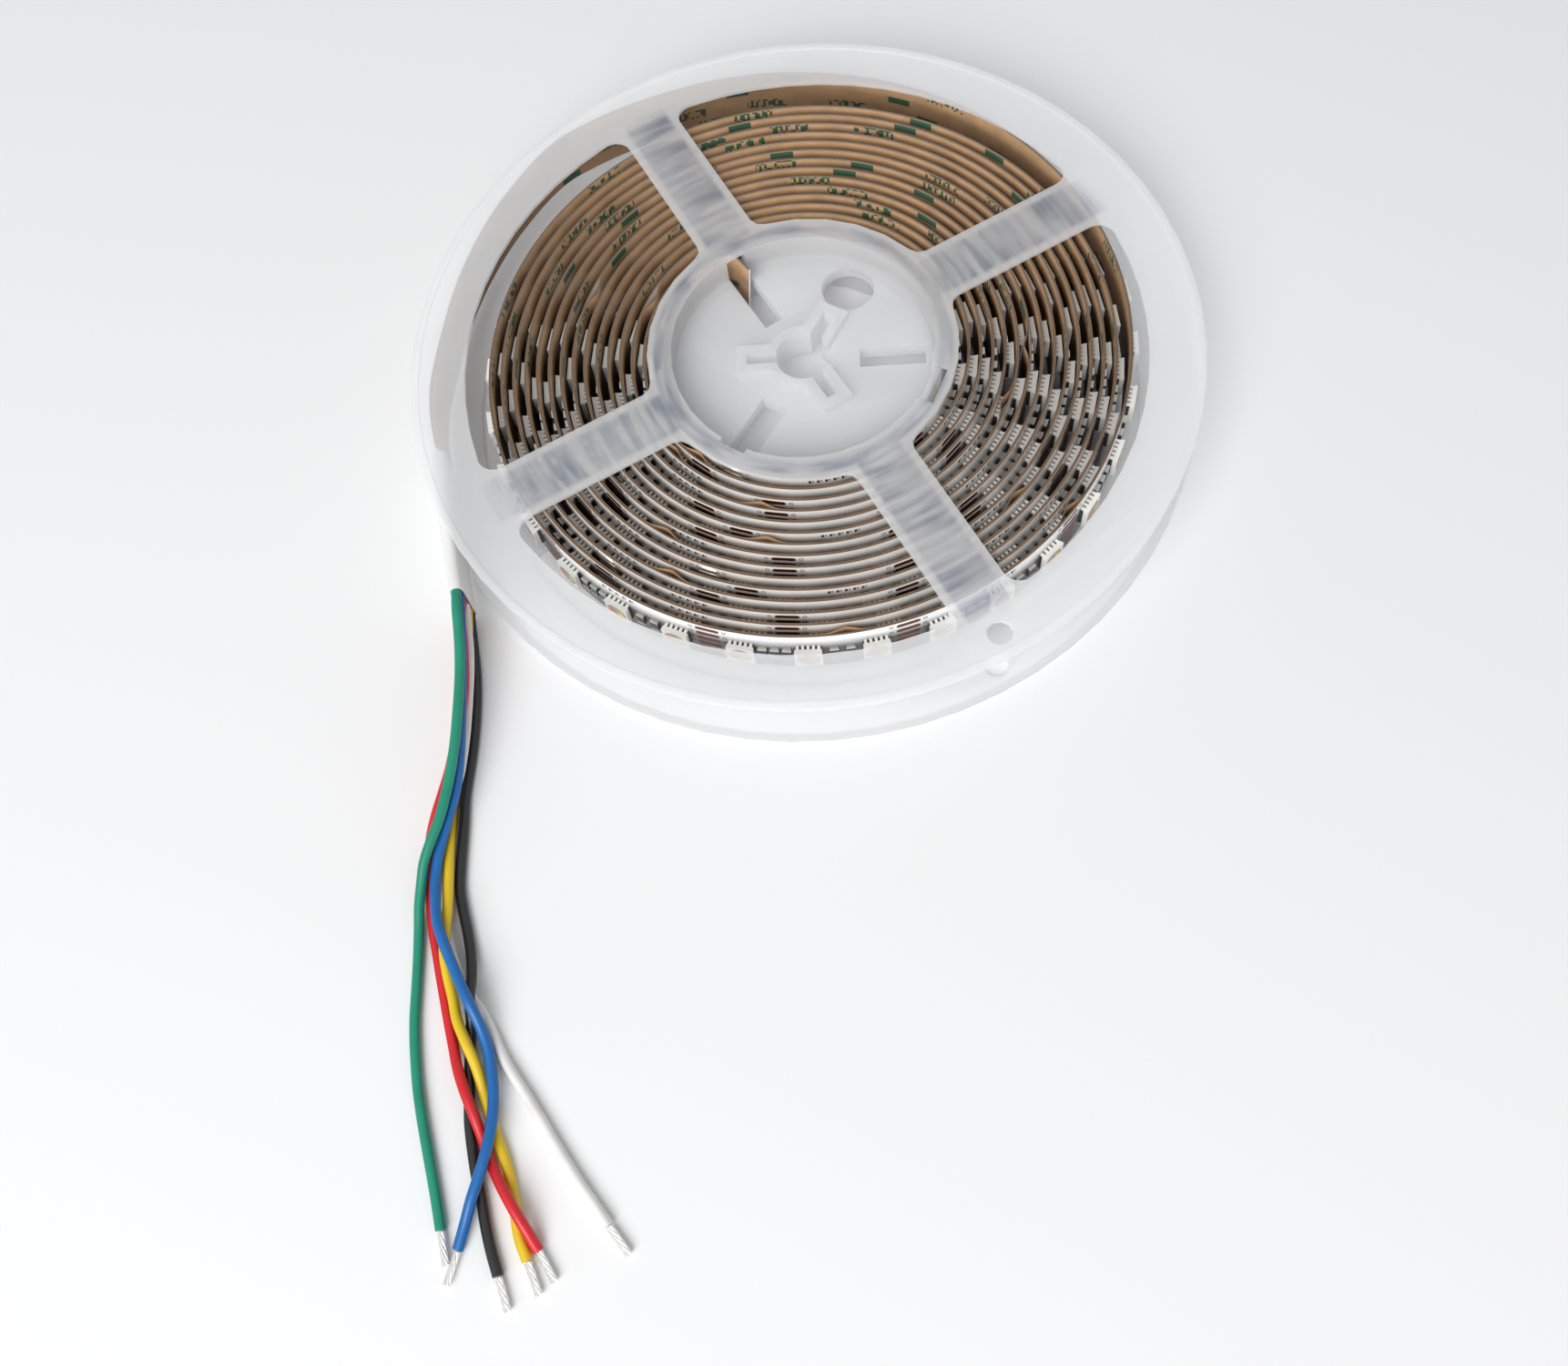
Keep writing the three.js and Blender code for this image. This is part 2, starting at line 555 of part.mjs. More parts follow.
function frostedPlastic() {
  return new THREE.MeshStandardMaterial({ color: 0xe6e7ea, roughness: 0.45, metalness: 0 });
}

function boardWhite() {
  return new THREE.MeshStandardMaterial({ color: 0xf1f0ec, roughness: 0.5, metalness: 0 });
}

function kraftPaper() {
  return new THREE.MeshStandardMaterial({ color: 0xa5794f, roughness: 0.6, metalness: 0 });
}

function sleeveWhite() {
  return new THREE.MeshStandardMaterial({ color: 0xefefed, roughness: 0.5, metalness: 0 });
}

function wireInsulation(color) {
  return new THREE.MeshStandardMaterial({ color, roughness: 0.4, metalness: 0 });
}

function tinnedCopper() {
  return new THREE.MeshStandardMaterial({ color: 0xb9b4aa, roughness: 0.35, metalness: 0.9 });
}

function part(name, geometry, material) {
  const mesh = new THREE.Mesh(geometry, material);
  mesh.name = name;
  return mesh;
}

const WIRE_COLOURS = {
  green: 0x0c8a63,
  blue: 0x23306e,
  red: 0xb5262b,
  white: 0xf0eeea,
  yellow: 0xd9a514,
  black: 0x1b1b1e,
};

const spool = new THREE.Group();
spool.add(part("spool_lower_half", lowerHalfGeometry(), frostedPlastic()));
spool.add(part("spool_upper_half", upperHalfGeometry(), frostedPlastic()));

const tape = new THREE.Group();
tape.add(part("led_tape", tapeGeometry(), boardWhite()));
tape.add(part("tape_liner", linerGeometry(), kraftPaper()));

const lead = new THREE.Group();
lead.add(part("lead_sleeve", sleeveGeometry(), sleeveWhite()));
for (const [colour, route] of Object.entries(WIRE_ROUTES)) {
  const wire = cordGeometry(route, WIRE_DIAMETER, WIRE_STEPS);
  lead.add(part(`wire_${colour}`, wire, wireInsulation(WIRE_COLOURS[colour])));
  lead.add(part(`wire_tip_${colour}`, tipGeometry(route), tinnedCopper()));
}

const reel = new THREE.Group();
reel.add(spool, tape, lead);

export default reel;
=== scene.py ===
"""LED strip light reel: the finish and fine detail of the reel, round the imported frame.

Lengths are in metres and azimuths in degrees, anticlockwise from +X as seen from above,
unless the words beside a value say otherwise. The spool's axis is the Z axis and its lower
rim rests on z = 0.
"""

from __future__ import annotations

import bisect
import logging
import math
from dataclasses import dataclass, field
from enum import Enum
from typing import Any, Callable, Iterable, Sequence

import bmesh
import bpy
from mathutils import Matrix, Vector


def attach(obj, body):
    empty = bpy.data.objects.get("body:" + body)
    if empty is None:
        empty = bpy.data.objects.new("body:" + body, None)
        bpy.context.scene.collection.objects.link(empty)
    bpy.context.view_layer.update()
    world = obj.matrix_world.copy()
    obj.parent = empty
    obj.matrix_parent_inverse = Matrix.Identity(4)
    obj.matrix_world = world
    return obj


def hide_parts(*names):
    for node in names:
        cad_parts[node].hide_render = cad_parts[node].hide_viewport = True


LOG = logging.getLogger("led_reel")
MM = 0.001
TAPE_TOP = 13.5 * MM
BODY = "root"

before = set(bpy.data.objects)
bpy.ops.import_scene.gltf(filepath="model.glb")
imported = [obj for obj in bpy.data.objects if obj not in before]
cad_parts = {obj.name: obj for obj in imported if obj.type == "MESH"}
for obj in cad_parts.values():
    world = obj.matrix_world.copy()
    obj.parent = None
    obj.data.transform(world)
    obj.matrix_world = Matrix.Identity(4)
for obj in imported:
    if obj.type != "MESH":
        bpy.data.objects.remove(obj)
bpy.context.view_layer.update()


class Wire(Enum):
    """The six wires of the lead, named by the colour of their insulation."""

    GREEN = "green"
    BLUE = "blue"
    RED = "red"
    WHITE = "white"
    YELLOW = "yellow"
    BLACK = "black"


# Node trees


class Socket:
    """A shader socket that takes part in arithmetic."""

    def __init__(self, net: "Net", socket: bpy.types.NodeSocket) -> None:
        """Wraps a socket.

        Args:
            net: The tree that the socket is in.
            socket: The output socket.
        """
        self.net = net
        self.socket = socket

    def math(self, operation: str, *others: Any, flip: bool = False) -> "Socket":
        """Adds a Math node.

        Args:
            operation: The Math node's operation.
            others: The other operands, sockets or numbers.
            flip: Whether this socket comes last.

        Returns:
            The node's value.
        """
        operands = [*others, self] if flip else [self, *others]
        node = self.net.node("ShaderNodeMath", {"operation": operation}, dict(enumerate(operands)))
        return Socket(self.net, node.outputs[0])

    def __add__(self, other: Any) -> "Socket":
        """This value plus another."""
        return self.math("ADD", other)

    __radd__ = __add__

    def __sub__(self, other: Any) -> "Socket":
        """This value less another."""
        return self.math("SUBTRACT", other)

    def __rsub__(self, other: Any) -> "Socket":
        """Another value less this one."""
        return self.math("SUBTRACT", other, flip=True)

    def __mul__(self, other: Any) -> "Socket":
        """This value times another."""
        return self.math("MULTIPLY", other)

    __rmul__ = __mul__

    def __truediv__(self, other: Any) -> "Socket":
        """This value over another."""
        return self.math("DIVIDE", other)

    def __gt__(self, other: Any) -> "Socket":
        """One where this value is the greater, else zero."""
        return self.math("GREATER_THAN", other)

    def __lt__(self, other: Any) -> "Socket":
        """One where this value is the less, else zero."""
        return self.math("LESS_THAN", other)

    def __abs__(self) -> "Socket":
        """The value without its sign."""
        return self.math("ABSOLUTE")

    def floor(self) -> "Socket":
        """The whole number below the value."""
        return self.math("FLOOR")

    def between(self, low: float, high: float) -> "Socket":
        """One where the value lies between two others, else zero."""
        return (self > low) * (self < high)

    def ramp(self, start: float, end: float) -> "Socket":
        """A share that goes from 0 to 1 between two values."""
        share = (self - start) / (end - start)
        return share.math("MAXIMUM", 0.0).math("MINIMUM", 1.0)

    def fraction(self) -> "Socket":
        """What is left of the value past its whole number."""
        return self.math("FRACT")


class Net:
    """A node tree, filled by one node-making method."""

    def __init__(self, tree: bpy.types.NodeTree) -> None:
        """Takes a tree and clears it.

        Args:
            tree: The shader or geometry tree.
        """
        self.tree = tree
        tree.nodes.clear()

    def node(self, kind: str, settings: dict | None = None, feeds: dict | None = None) -> Any:
        """Makes one node.

        Args:
            kind: The node's type.
            settings: Its properties, set before its sockets; a ramp's stops come as "stops".
            feeds: Values or links by the input's name or number.

        Returns:
            The node.
        """
        node = self.tree.nodes.new(kind)
        for name, value in (settings or {}).items():
            if name == "stops":
                self._set_stops(node.color_ramp, value)
            else:
                setattr(node, name, value)
        for key, value in (feeds or {}).items():
            self.feed(node.inputs[key], value)
        return node

    def feed(self, target: bpy.types.NodeSocket, value: Any) -> None:
        """Links a socket, or sets its value.

        Args:
            target: The input socket.
            value: A Socket, a node's output or a plain value.
        """
        if isinstance(value, Socket):
            value = value.socket
        if isinstance(value, bpy.types.NodeSocket):
            self.tree.links.new(value, target)
        else:
            target.default_value = value

    @staticmethod
    def _set_stops(ramp: bpy.types.ColorRamp, stops: Sequence[tuple[float, tuple]]) -> None:
        """Sets a colour ramp's stops.

        Args:
            ramp: The ramp.
            stops: Positions and colours in order.
        """
        while len(ramp.elements) < len(stops):
            ramp.elements.new(0.5)
        for element, (position, colour) in zip(ramp.elements, stops):
            element.position = position
            element.color = (*colour, 1.0)


class Modeller:
    """A Geometry Nodes tree that makes a mesh and leaves it plain."""

    def __init__(self, name: str) -> None:
        """Starts a tree with one geometry input and output.

        Args:
            name: The tree's name.
        """
        self.tree = bpy.data.node_groups.new(name, "GeometryNodeTree")
        self.net = Net(self.tree)
        self.identifiers: dict[str, str] = {}
        self._declare("Geometry", "INPUT", "NodeSocketGeometry")
        self._declare("Geometry", "OUTPUT", "NodeSocketGeometry")
        self.source = self.net.node("NodeGroupInput")

    def _declare(self, name: str, way: str, kind: str) -> Any:
        """Adds a socket to the tree's interface."""
        return self.tree.interface.new_socket(name, in_out=way, socket_type=kind)

    def size(self, name: str, kind: str = "NodeSocketFloat") -> bpy.types.NodeSocket:
        """Declares a named input.

        Args:
            name: The input's name.
            kind: Its socket type.

        Returns:
            The socket inside the tree.
        """
        self.identifiers[name] = self._declare(name, "INPUT", kind).identifier
        return self.source.outputs[name]

    def geometry(self) -> bpy.types.NodeSocket:
        """The geometry that the tree starts from."""
        return self.source.outputs["Geometry"]

    def finish(self, geometry: bpy.types.NodeSocket, material: bpy.types.Material | None) -> None:
        """Ends the tree in real geometry with its material.

        Args:
            geometry: The geometry to output.
            material: The material, or None where the templates carry their own.
        """
        real = self.net.node("GeometryNodeRealizeInstances", feeds={"Geometry": geometry})
        last = real.outputs[0]
        if material is not None:
            feeds = {"Geometry": last, "Material": material}
            last = self.net.node("GeometryNodeSetMaterial", feeds=feeds).outputs[0]
        self.net.node("NodeGroupOutput", feeds={"Geometry": last})

    def run(self, name: str, carrier: bpy.types.Object, values: dict[str, Any]) -> bpy.types.Object:
        """Runs the tree on an object and keeps the result as a plain mesh.

        Args:
            name: The new piece's name.
            carrier: The object that holds the starting geometry; it is used up.
            values: The tree's inputs by name.

        Returns:
            The piece.
        """
        modifier = carrier.modifiers.new("make", "NODES")
        modifier.node_group = self.tree
        for key, value in values.items():
            modifier[self.identifiers[key]] = value
        return plain_mesh(name, carrier)


def plain_mesh(name: str, source: bpy.types.Object) -> bpy.types.Object:
    """Turns an object, modifiers included, into a plain mesh object.

    Args:
        name: The new object's name.
        source: The object, which is removed.

    Returns:
        The new object.
    """
    bpy.context.view_layer.update()
    depsgraph = bpy.context.evaluated_depsgraph_get()
    mesh = bpy.data.meshes.new_from_object(source.evaluated_get(depsgraph), depsgraph=depsgraph)
    for modifier in list(source.modifiers):
        source.modifiers.remove(modifier)
    bpy.data.objects.remove(source)
    piece = bpy.data.objects.new(name, mesh)
    mesh.name = name
    bpy.context.scene.collection.objects.link(piece)
    return piece


def smooth(piece: bpy.types.Object, angle: float = 32.0) -> bpy.types.Object:
    """Shades a mesh smooth, apart from edges sharper than an angle.

    Args:
        piece: The mesh object.
        angle: The sharpest smooth edge in degrees.

    Returns:
        The same object.
    """
    mesh = piece.data
    mesh.polygons.foreach_set("use_smooth", [True] * len(mesh.polygons))
    mesh.set_sharp_from_angle(angle=math.radians(angle))
    return piece


def mesh_object(name: str, build: Callable[[bmesh.types.BMesh], None]) -> bpy.types.Object:
    """Makes a mesh object with a bmesh function.

    Args:
        name: The object's name.
        build: Fills the bmesh.

    Returns:
        The object, in the scene.
    """
    form = bmesh.new()
    build(form)
    mesh = bpy.data.meshes.new(name)
    form.to_mesh(mesh)
    form.free()
    piece = bpy.data.objects.new(name, mesh)
    bpy.context.scene.collection.objects.link(piece)
    return piece


def line_object(name: str, points: Sequence[Vector], tilts: Sequence[float] = ()) -> bpy.types.Object:
    """Makes a curve object of one open polyline.

    Args:
        name: The object's name.
        points: The points in metres.
        tilts: The lean at each point in radians, or nothing.

    Returns:
        The object, in the scene.
    """
    curve = bpy.data.curves.new(name, "CURVE")
    curve.dimensions = "3D"
    curve.twist_mode = "Z_UP"
    spline = curve.splines.new("POLY")
    spline.points.add(len(points) - 1)
    spline.points.foreach_set("co", [value for point in points for value in (*point, 1.0)])
    if tilts:
        spline.points.foreach_set("tilt", list(tilts))
    piece = bpy.data.objects.new(name, curve)
    bpy.context.scene.collection.objects.link(piece)
    return piece


# Finishes


@dataclass(frozen=True)
class Finish:
    """A moulded, printed or metal surface.

    Attributes:
        name: The material's name.
        slot: The record's material slot.
        colour: The linear base colour.
        roughness: The mean roughness.
        metallic: Metalness.
        mottle: How far the colour wanders, as a share.
        mottle_scale: The mottle's frequency in waves a metre.
        grain: The height of the surface grain in metres.
        grain_scale: The grain's frequency in waves a metre.
        wear: How far the roughness wanders with the mottle.
        sockets: Uniform values of other Principled sockets.
    """

    name: str
    slot: str
    colour: tuple[float, float, float]
    roughness: float = 0.5
    metallic: float = 0.0
    mottle: float = 0.06
    mottle_scale: float = 160.0
    grain: float = 0.00001
    grain_scale: float = 2500.0
    wear: float = 0.12
    sockets: tuple[tuple[str, Any], ...] = ()

    def paint(self, net: Net, base: Any) -> Any:
        """Adds the finish's own pattern, and any painted shade, to its colour; a plain finish has neither.
        """
        return base

    def material(self) -> bpy.types.Material:
        """Builds the material, or finds it if it is there already."""
        found = bpy.data.materials.get(self.name)
        if found is not None:
            return found
        material = bpy.data.materials.new(self.name)
        material.use_nodes = True
        net = Net(material.node_tree)
        place = net.node("ShaderNodeTexCoord").outputs["Object"]
        cloud = self._noise(net, place, self.mottle_scale, detail=3.0)
        grain = self._noise(net, place, self.grain_scale, detail=2.0)
        darker = tuple(channel * (1 - self.mottle) for channel in self.colour)
        lighter = tuple(min(channel * (1 + self.mottle), 1.0) for channel in self.colour)
        ramp = {"stops": [(0.3, darker), (0.7, lighter)]}
        base = net.node("ShaderNodeValToRGB", ramp, {"Fac": cloud}).outputs["Color"]
        bump = net.node("ShaderNodeBump", feeds={"Distance": self.grain, "Height": grain})
        feeds = {
            "Base Color": self.paint(net, base),
            "Roughness": (cloud - 0.5) * self.wear + self.roughness,
            "Metallic": self.metallic,
            "Normal": bump.outputs["Normal"],
            **dict(self.sockets),
        }
        shader = net.node("ShaderNodeBsdfPrincipled", feeds=feeds)
        net.node("ShaderNodeOutputMaterial", feeds={"Surface": self.depth(net, shader.outputs[0])})
        return material

    def depth(self, net: Net, surface: bpy.types.NodeSocket) -> bpy.types.NodeSocket:
        """Adds what light does inside the material; most finishes let none in."""
        return surface

    @staticmethod
    def _noise(net: Net, place: Any, scale: float, detail: float) -> Socket:
        """A noise value at a frequency.

        Args:
            net: The tree.
            place: The coordinates.
            scale: Waves a metre.
            detail: The octaves.

        Returns:
            The noise, about 0.5 on average.
        """
        feeds = {"Vector": place, "Scale": scale, "Detail": detail}
        return Socket(net, net.node("ShaderNodeTexNoise", feeds=feeds).outputs["Fac"])


def mix_colour(net: Net, mask: Any, under: Any, over: Any) -> bpy.types.NodeSocket:
    """Lays one colour over another.

    Args:
        net: The tree.
        mask: Where the upper colour shows.
        under: The colour below, linked or as four numbers.
        over: The colour above, linked or as four numbers.

    Returns:
        The mixed colour.
    """
    node = net.node("ShaderNodeMix", {"data_type": "RGBA"}, {0: mask, 6: under, 7: over})
    return node.outputs[2]


def from_axis(net: Net, place: Any) -> tuple[Socket, Socket, Socket, Socket]:
    """Measures a place from the spool's axis.

    Args:
        net: The tree.
        place: The Object coordinates.

    Returns:
        The ways east, north and up, and the distance from the axis.
    """
    parts = net.node("ShaderNodeSeparateXYZ", feeds={"Vector": place})
    east, north, up = (Socket(net, parts.outputs[axis]) for axis in "XYZ")
    return east, north, up, (east * east + north * north).math("SQRT")


@dataclass(frozen=True)
class FrostedFinish(Finish):
    """Milky plastic: part of the light goes straight through and part is scattered forwards.

    The shade of the winding below is painted on the upper flange as blurred blue-grey streaks.

    Attributes:
        glow: The share of the light that is scattered forwards.
        shade: The colour over the darkest part of the winding.
        spoke_turn: The first spoke's azimuth in radians.
        spoke_half: Half the width of a spoke's shaded middle.
        spoke_end: The radii between which a spoke's shade fades out.
        barrel: The radii between which the shade sets in over the barrel's wall.
        ring_edge: The radius where the shade of the hub ring ends.
        fade: The width over which the other edges of the shade fade out.
        under_plate: The height above which the upper flange lies.
        pitch: The spacing of the turns below.
        streaks_across: The streaks' frequency in waves a turn of the winding.
        streaks_around: The streaks' frequency in waves a radian round the axis.
        streak_stops: The noise values between which a streak fades in.
        cloud_scale: The clouds' frequency in waves a metre.
        cloud_stops: The noise values between which a cloud fades in.
        clouded: The weight of the streaks inside clouds.
        streaked: The weight of the streaks everywhere.
        even: The weight of the shade without a streak.
    """

    glow: float = 0.14
    shade: tuple[float, float, float] = (0.26, 0.32, 0.42)
    spoke_turn: float = math.radians(20.0)
    spoke_half: float = 4.9 * MM
    spoke_end: tuple[float, float] = (64.0 * MM, 66.5 * MM)
    barrel: tuple[float, float] = (25.4 * MM, 26.6 * MM)
    ring_edge: float = 28.9 * MM
    fade: float = 0.8 * MM
    under_plate: float = 12.6 * MM
    pitch: float = 2.28 * MM
    streaks_across: float = 1.2
    streaks_around: float = 3.0
    streak_stops: tuple[float, float] = (0.36, 0.62)
    cloud_scale: float = 95.0
    cloud_stops: tuple[float, float] = (0.36, 0.66)
    clouded: float = 0.54
    streaked: float = 0.27
    even: float = 0.19

    def paint(self, net: Net, base: Any) -> Any:
        """Shades the upper flange where turns of the winding lie close beneath it."""
        place = net.node("ShaderNodeTexCoord").outputs["Object"]
        east, north, up, reach = from_axis(net, place)
        turn = north.math("ARCTAN2", east)
        cosine, sine = math.cos(self.spoke_turn), math.sin(self.spoke_turn)
        across = abs(east * cosine + north * sine).math("MINIMUM", abs(north * cosine - east * sine))
        spoke = across.ramp(self.spoke_half, self.spoke_half - self.fade)
        spoke = spoke * reach.ramp(self.spoke_end[1], self.spoke_end[0])
        ring = reach.ramp(self.ring_edge, self.ring_edge - self.fade)
        above = (up > self.under_plate) * reach.ramp(*self.barrel)
        feeds = {"X": reach * self.streaks_across / self.pitch, "Y": turn * self.streaks_around}
        spiral = net.node("ShaderNodeCombineXYZ", feeds=feeds).outputs[0]
        streaks = self._noise(net, spiral, 1.0, detail=1.5).ramp(*self.streak_stops)
        clouds = self._noise(net, place, self.cloud_scale, detail=1.0).ramp(*self.cloud_stops)
        weight = streaks * clouds * self.clouded + streaks * self.streaked + self.even
        amount = weight * spoke.math("MAXIMUM", ring) * above
        return mix_colour(net, amount, base, (*self.shade, 1.0))

    def depth(self, net: Net, surface: bpy.types.NodeSocket) -> bpy.types.NodeSocket:
        """Mixes in the forward scatter."""
        glow = net.node("ShaderNodeBsdfTranslucent", feeds={"Color": (0.97, 0.975, 0.985, 1.0)})
        feeds = {0: self.glow, 1: surface, 2: glow.outputs[0]}
        return net.node("ShaderNodeMixShader", feeds=feeds).outputs[0]


@dataclass(frozen=True)
class BoardFinish(Finish):
    """White solder mask on the board's faces, its copper and film bare at the cut edges, and painted shade
    in the gaps.

    Attributes:
        edge_colour: The colour of the cut edges.
        edge_facing: How far up or down a cut edge faces at the least, 1 being straight.
        depth_shade: How much of the colour the painted shade leaves down in the gaps.
        lit_top: How far down the full colour goes before the painted shade sets in.
        lit_depth: How far down light reaches; below it the painted shade is darkest.
        barrel_reach: The radius of the hub's wall, inside which the tail lies open.
        open_reach: The radius beyond which the turns stand open.
        open_fade: The width over which the painted shade ends there.
        open_share: How much of the painted shade stays where the tape is open.
    """

    edge_colour: tuple[float, float, float] = (0.150, 0.094, 0.056)
    edge_facing: float = 0.7
    depth_shade: tuple[float, float, float] = (0.14, 0.13, 0.12)
    lit_top: float = 1.7 * MM
    lit_depth: float = 4.8 * MM
    barrel_reach: float = 27.0 * MM
    open_reach: float = 61.5 * MM
    open_fade: float = 1.0 * MM
    open_share: float = 0.0

    def paint_gap_shade(self, net: Net, base: Any) -> Any:
        """Paints shade on the faces down in the gaps between turns, and leaves the open ones as they are.

        Args:
            net: The tree.
            base: The colour in full light.

        Returns:
            The colour with the painted shade.
        """
        place = net.node("ShaderNodeTexCoord").outputs["Object"]
        _, _, up, reach = from_axis(net, place)
        inside = reach.ramp(self.open_reach + self.open_fade, self.open_reach)
        wound = inside * (reach > self.barrel_reach)
        share = wound.math("MAXIMUM", self.open_share)
        # Painted shade: the colour darkens from under the tape's top edge down into the gaps between
        # turns.
        down = up.ramp(TAPE_TOP - self.lit_top, TAPE_TOP - self.lit_depth) * share
        dark = net.node("ShaderNodeVectorMath", {"operation": "MULTIPLY"}, {0: base, 1: self.depth_shade})
        return mix_colour(net, down, base, dark.outputs[0])

    def paint(self, net: Net, base: Any) -> Any:
        """Paints shade down in the gaps, then browns the narrow edges, which face up and down."""
        base = self.paint_gap_shade(net, base)
        normal = net.node("ShaderNodeNewGeometry").outputs["True Normal"]
        facing = net.node("ShaderNodeSeparateXYZ", feeds={"Vector": normal}).outputs["Z"]
        edge = abs(Socket(net, facing)) > self.edge_facing
        return mix_colour(net, edge, base, (*self.edge_colour, 1.0))


@dataclass(frozen=True)
class LinerFinish(BoardFinish):
    """Brown backing paper with a repeated green print of bars and broken rows, and painted shade in the
    gaps.

    Attributes:
        ink: The print's colour.
        cover: How much of the paper's colour the ink hides.
        depth_shade: As for the board; the painted shade takes paper nearly black in the gaps.
        lit_top: As for the board.
        lit_depth: As for the board.
        open_share: As for the board.
        row: The height of one row of print.
        row_shift: How far a row is set off from the one below, as a share of a group.
        group: The length along the tape that one group of print takes.
        bars: The least chance value at which a group holds a bar.
        bar_span: The part of a group's length that a bar takes.
        bar_band: The part of a row's height that a bar takes.
        dashes: The chance value up to which a group holds broken rows.
        dash_span: The part of a group's length that broken rows take.
        dash_band: The part of a row's height that broken rows take.
        dash: The length of the smallest dash.
        dash_lines: The lines of dashes in one row.
        dash_gaps: The chance value up to which a dash is left out.
    """

    ink: tuple[float, float, float] = (0.001, 0.105, 0.058)
    cover: float = 0.92
    depth_shade: tuple[float, float, float] = (0.10, 0.062, 0.035)
    lit_top: float = 0.5 * MM
    lit_depth: float = 3.9 * MM
    open_share: float = 0.5
    row: float = 3.4 * MM
    row_shift: float = 0.37
    group: float = 17.2 * MM
    bars: float = 0.84
    bar_span: tuple[float, float] = (0.2, 0.47)
    bar_band: tuple[float, float] = (0.25, 0.72)
    dashes: float = 0.38
    dash_span: tuple[float, float] = (0.12, 0.6)
    dash_band: tuple[float, float] = (0.2, 0.8)
    dash: float = 0.52 * MM
    dash_lines: float = 3.0
    dash_gaps: float = 0.52

    def paint(self, net: Net, base: Any) -> Any:
        """Prints the paper from its own UV map, in metres along and across the tape, then adds the board's
        painted shade and brown edges.
        """
        uv = net.node("ShaderNodeUVMap", {"uv_map": "UVMap"}).outputs["UV"]
        parts = net.node("ShaderNodeSeparateXYZ", feeds={"Vector": uv})
        along = Socket(net, parts.outputs["X"])
        across = Socket(net, parts.outputs["Y"])
        row = (across / self.row).floor()
        height = (across / self.row).fraction()
        place = along / self.group + row * self.row_shift
        inside = place.fraction()
        chance = self._chance(net, place.floor(), row)
        line = (height * self.dash_lines).floor() + row * 7.0
        fleck = self._chance(net, (along / self.dash).floor(), line)
        in_bar = inside.between(*self.bar_span) * height.between(*self.bar_band)
        in_dashes = inside.between(*self.dash_span) * height.between(*self.dash_band)
        bar = (chance > self.bars) * in_bar
        broken = (chance < self.dashes) * in_dashes * (fleck > self.dash_gaps)
        printed = (bar + broken).math("MINIMUM", 1.0)
        # The board's paint adds the painted shade in the gaps and the brown edges.
        return super().paint(net, mix_colour(net, printed * self.cover, base, (*self.ink, 1.0)))

    @staticmethod
    def _chance(net: Net, first: Any, second: Any) -> Socket:
        """A steady random value for a cell with two numbers."""
        cell = net.node("ShaderNodeCombineXYZ", feeds={"X": first, "Y": second}).outputs[0]
        noise = net.node("ShaderNodeTexWhiteNoise", {"noise_dimensions": "2D"}, {"Vector": cell})
        return Socket(net, noise.outputs["Value"])


FROSTED = FrostedFinish(
    name="frosted polystyrene",
    slot="frosted_plastic",
    colour=(0.965, 0.968, 0.98),
    roughness=0.4,
    mottle=0.01,
    mottle_scale=45.0,
    grain=0.000012,
    grain_scale=1400.0,
    sockets=(("Alpha", 0.38),),
)
BOARD = BoardFinish(
    name="white solder mask",
    slot="board_white",
    colour=(0.90, 0.90, 0.89),
    roughness=0.3,
    mottle=0.03,
)
LINER = LinerFinish(
    name="brown backing paper",
    slot="kraft_paper",
    colour=(0.60, 0.375, 0.205),
    roughness=0.5,
    mottle=0.12,
    mottle_scale=240.0,
    grain=0.00002,
)
HOUSING = Finish(name="white lamp housing", slot="board_white", colour=(0.85, 0.84, 0.80))
LENS = Finish(
    name="clear lamp resin",
    slot="board_white",
    colour=(0.42, 0.37, 0.27),
    roughness=0.25,
    mottle=0.1,
    mottle_scale=900.0,
)
AMBER = Finish(name="amber phosphor", slot="board_white", colour=(0.72, 0.17, 0.03), roughness=0.3)
YELLOW = Finish(name="yellow phosphor", slot="board_white", colour=(0.78, 0.60, 0.05), roughness=0.3)
PLATED = Finish(
    name="tinned pin",
    slot="tinned_copper",
    colour=(0.78, 0.78, 0.76),
    roughness=0.3,
    metallic=0.85,
    mottle_scale=900.0,
)
CERAMIC = Finish(
    name="black resistor glaze",
    slot="board_white",
    colour=(0.045, 0.043, 0.040),
    roughness=0.3,
)
PAD = Finish(
    name="dark copper pad",
    slot="board_white",
    colour=(0.12, 0.028, 0.012),
    roughness=0.34,
    metallic=0.55,
    mottle=0.25,
    mottle_scale=700.0,
)
MARK = Finish(name="grey board print", slot="board_white", colour=(0.05, 0.05, 0.055), roughness=0.6)
SLEEVE = Finish(
    name="white shrink sleeve",
    slot="sleeve_white",
    colour=(0.83, 0.83, 0.81),
    roughness=0.4,
    mottle=0.02,
)
TINNED = Finish(
    name="tinned strands",
    slot="tinned_copper",
    colour=(0.82, 0.81, 0.79),
    roughness=0.32,
    metallic=0.9,
    mottle=0.08,
    mottle_scale=1500.0,
)
INSULATION_COLOURS = {
    Wire.GREEN: (0.004, 0.245, 0.150),
    Wire.BLUE: (0.004, 0.125, 0.400),
    Wire.RED: (0.620, 0.012, 0.018),
    Wire.WHITE: (0.82, 0.81, 0.79),
    Wire.YELLOW: (0.76, 0.52, 0.015),
    Wire.BLACK: (0.010, 0.010, 0.011),
}


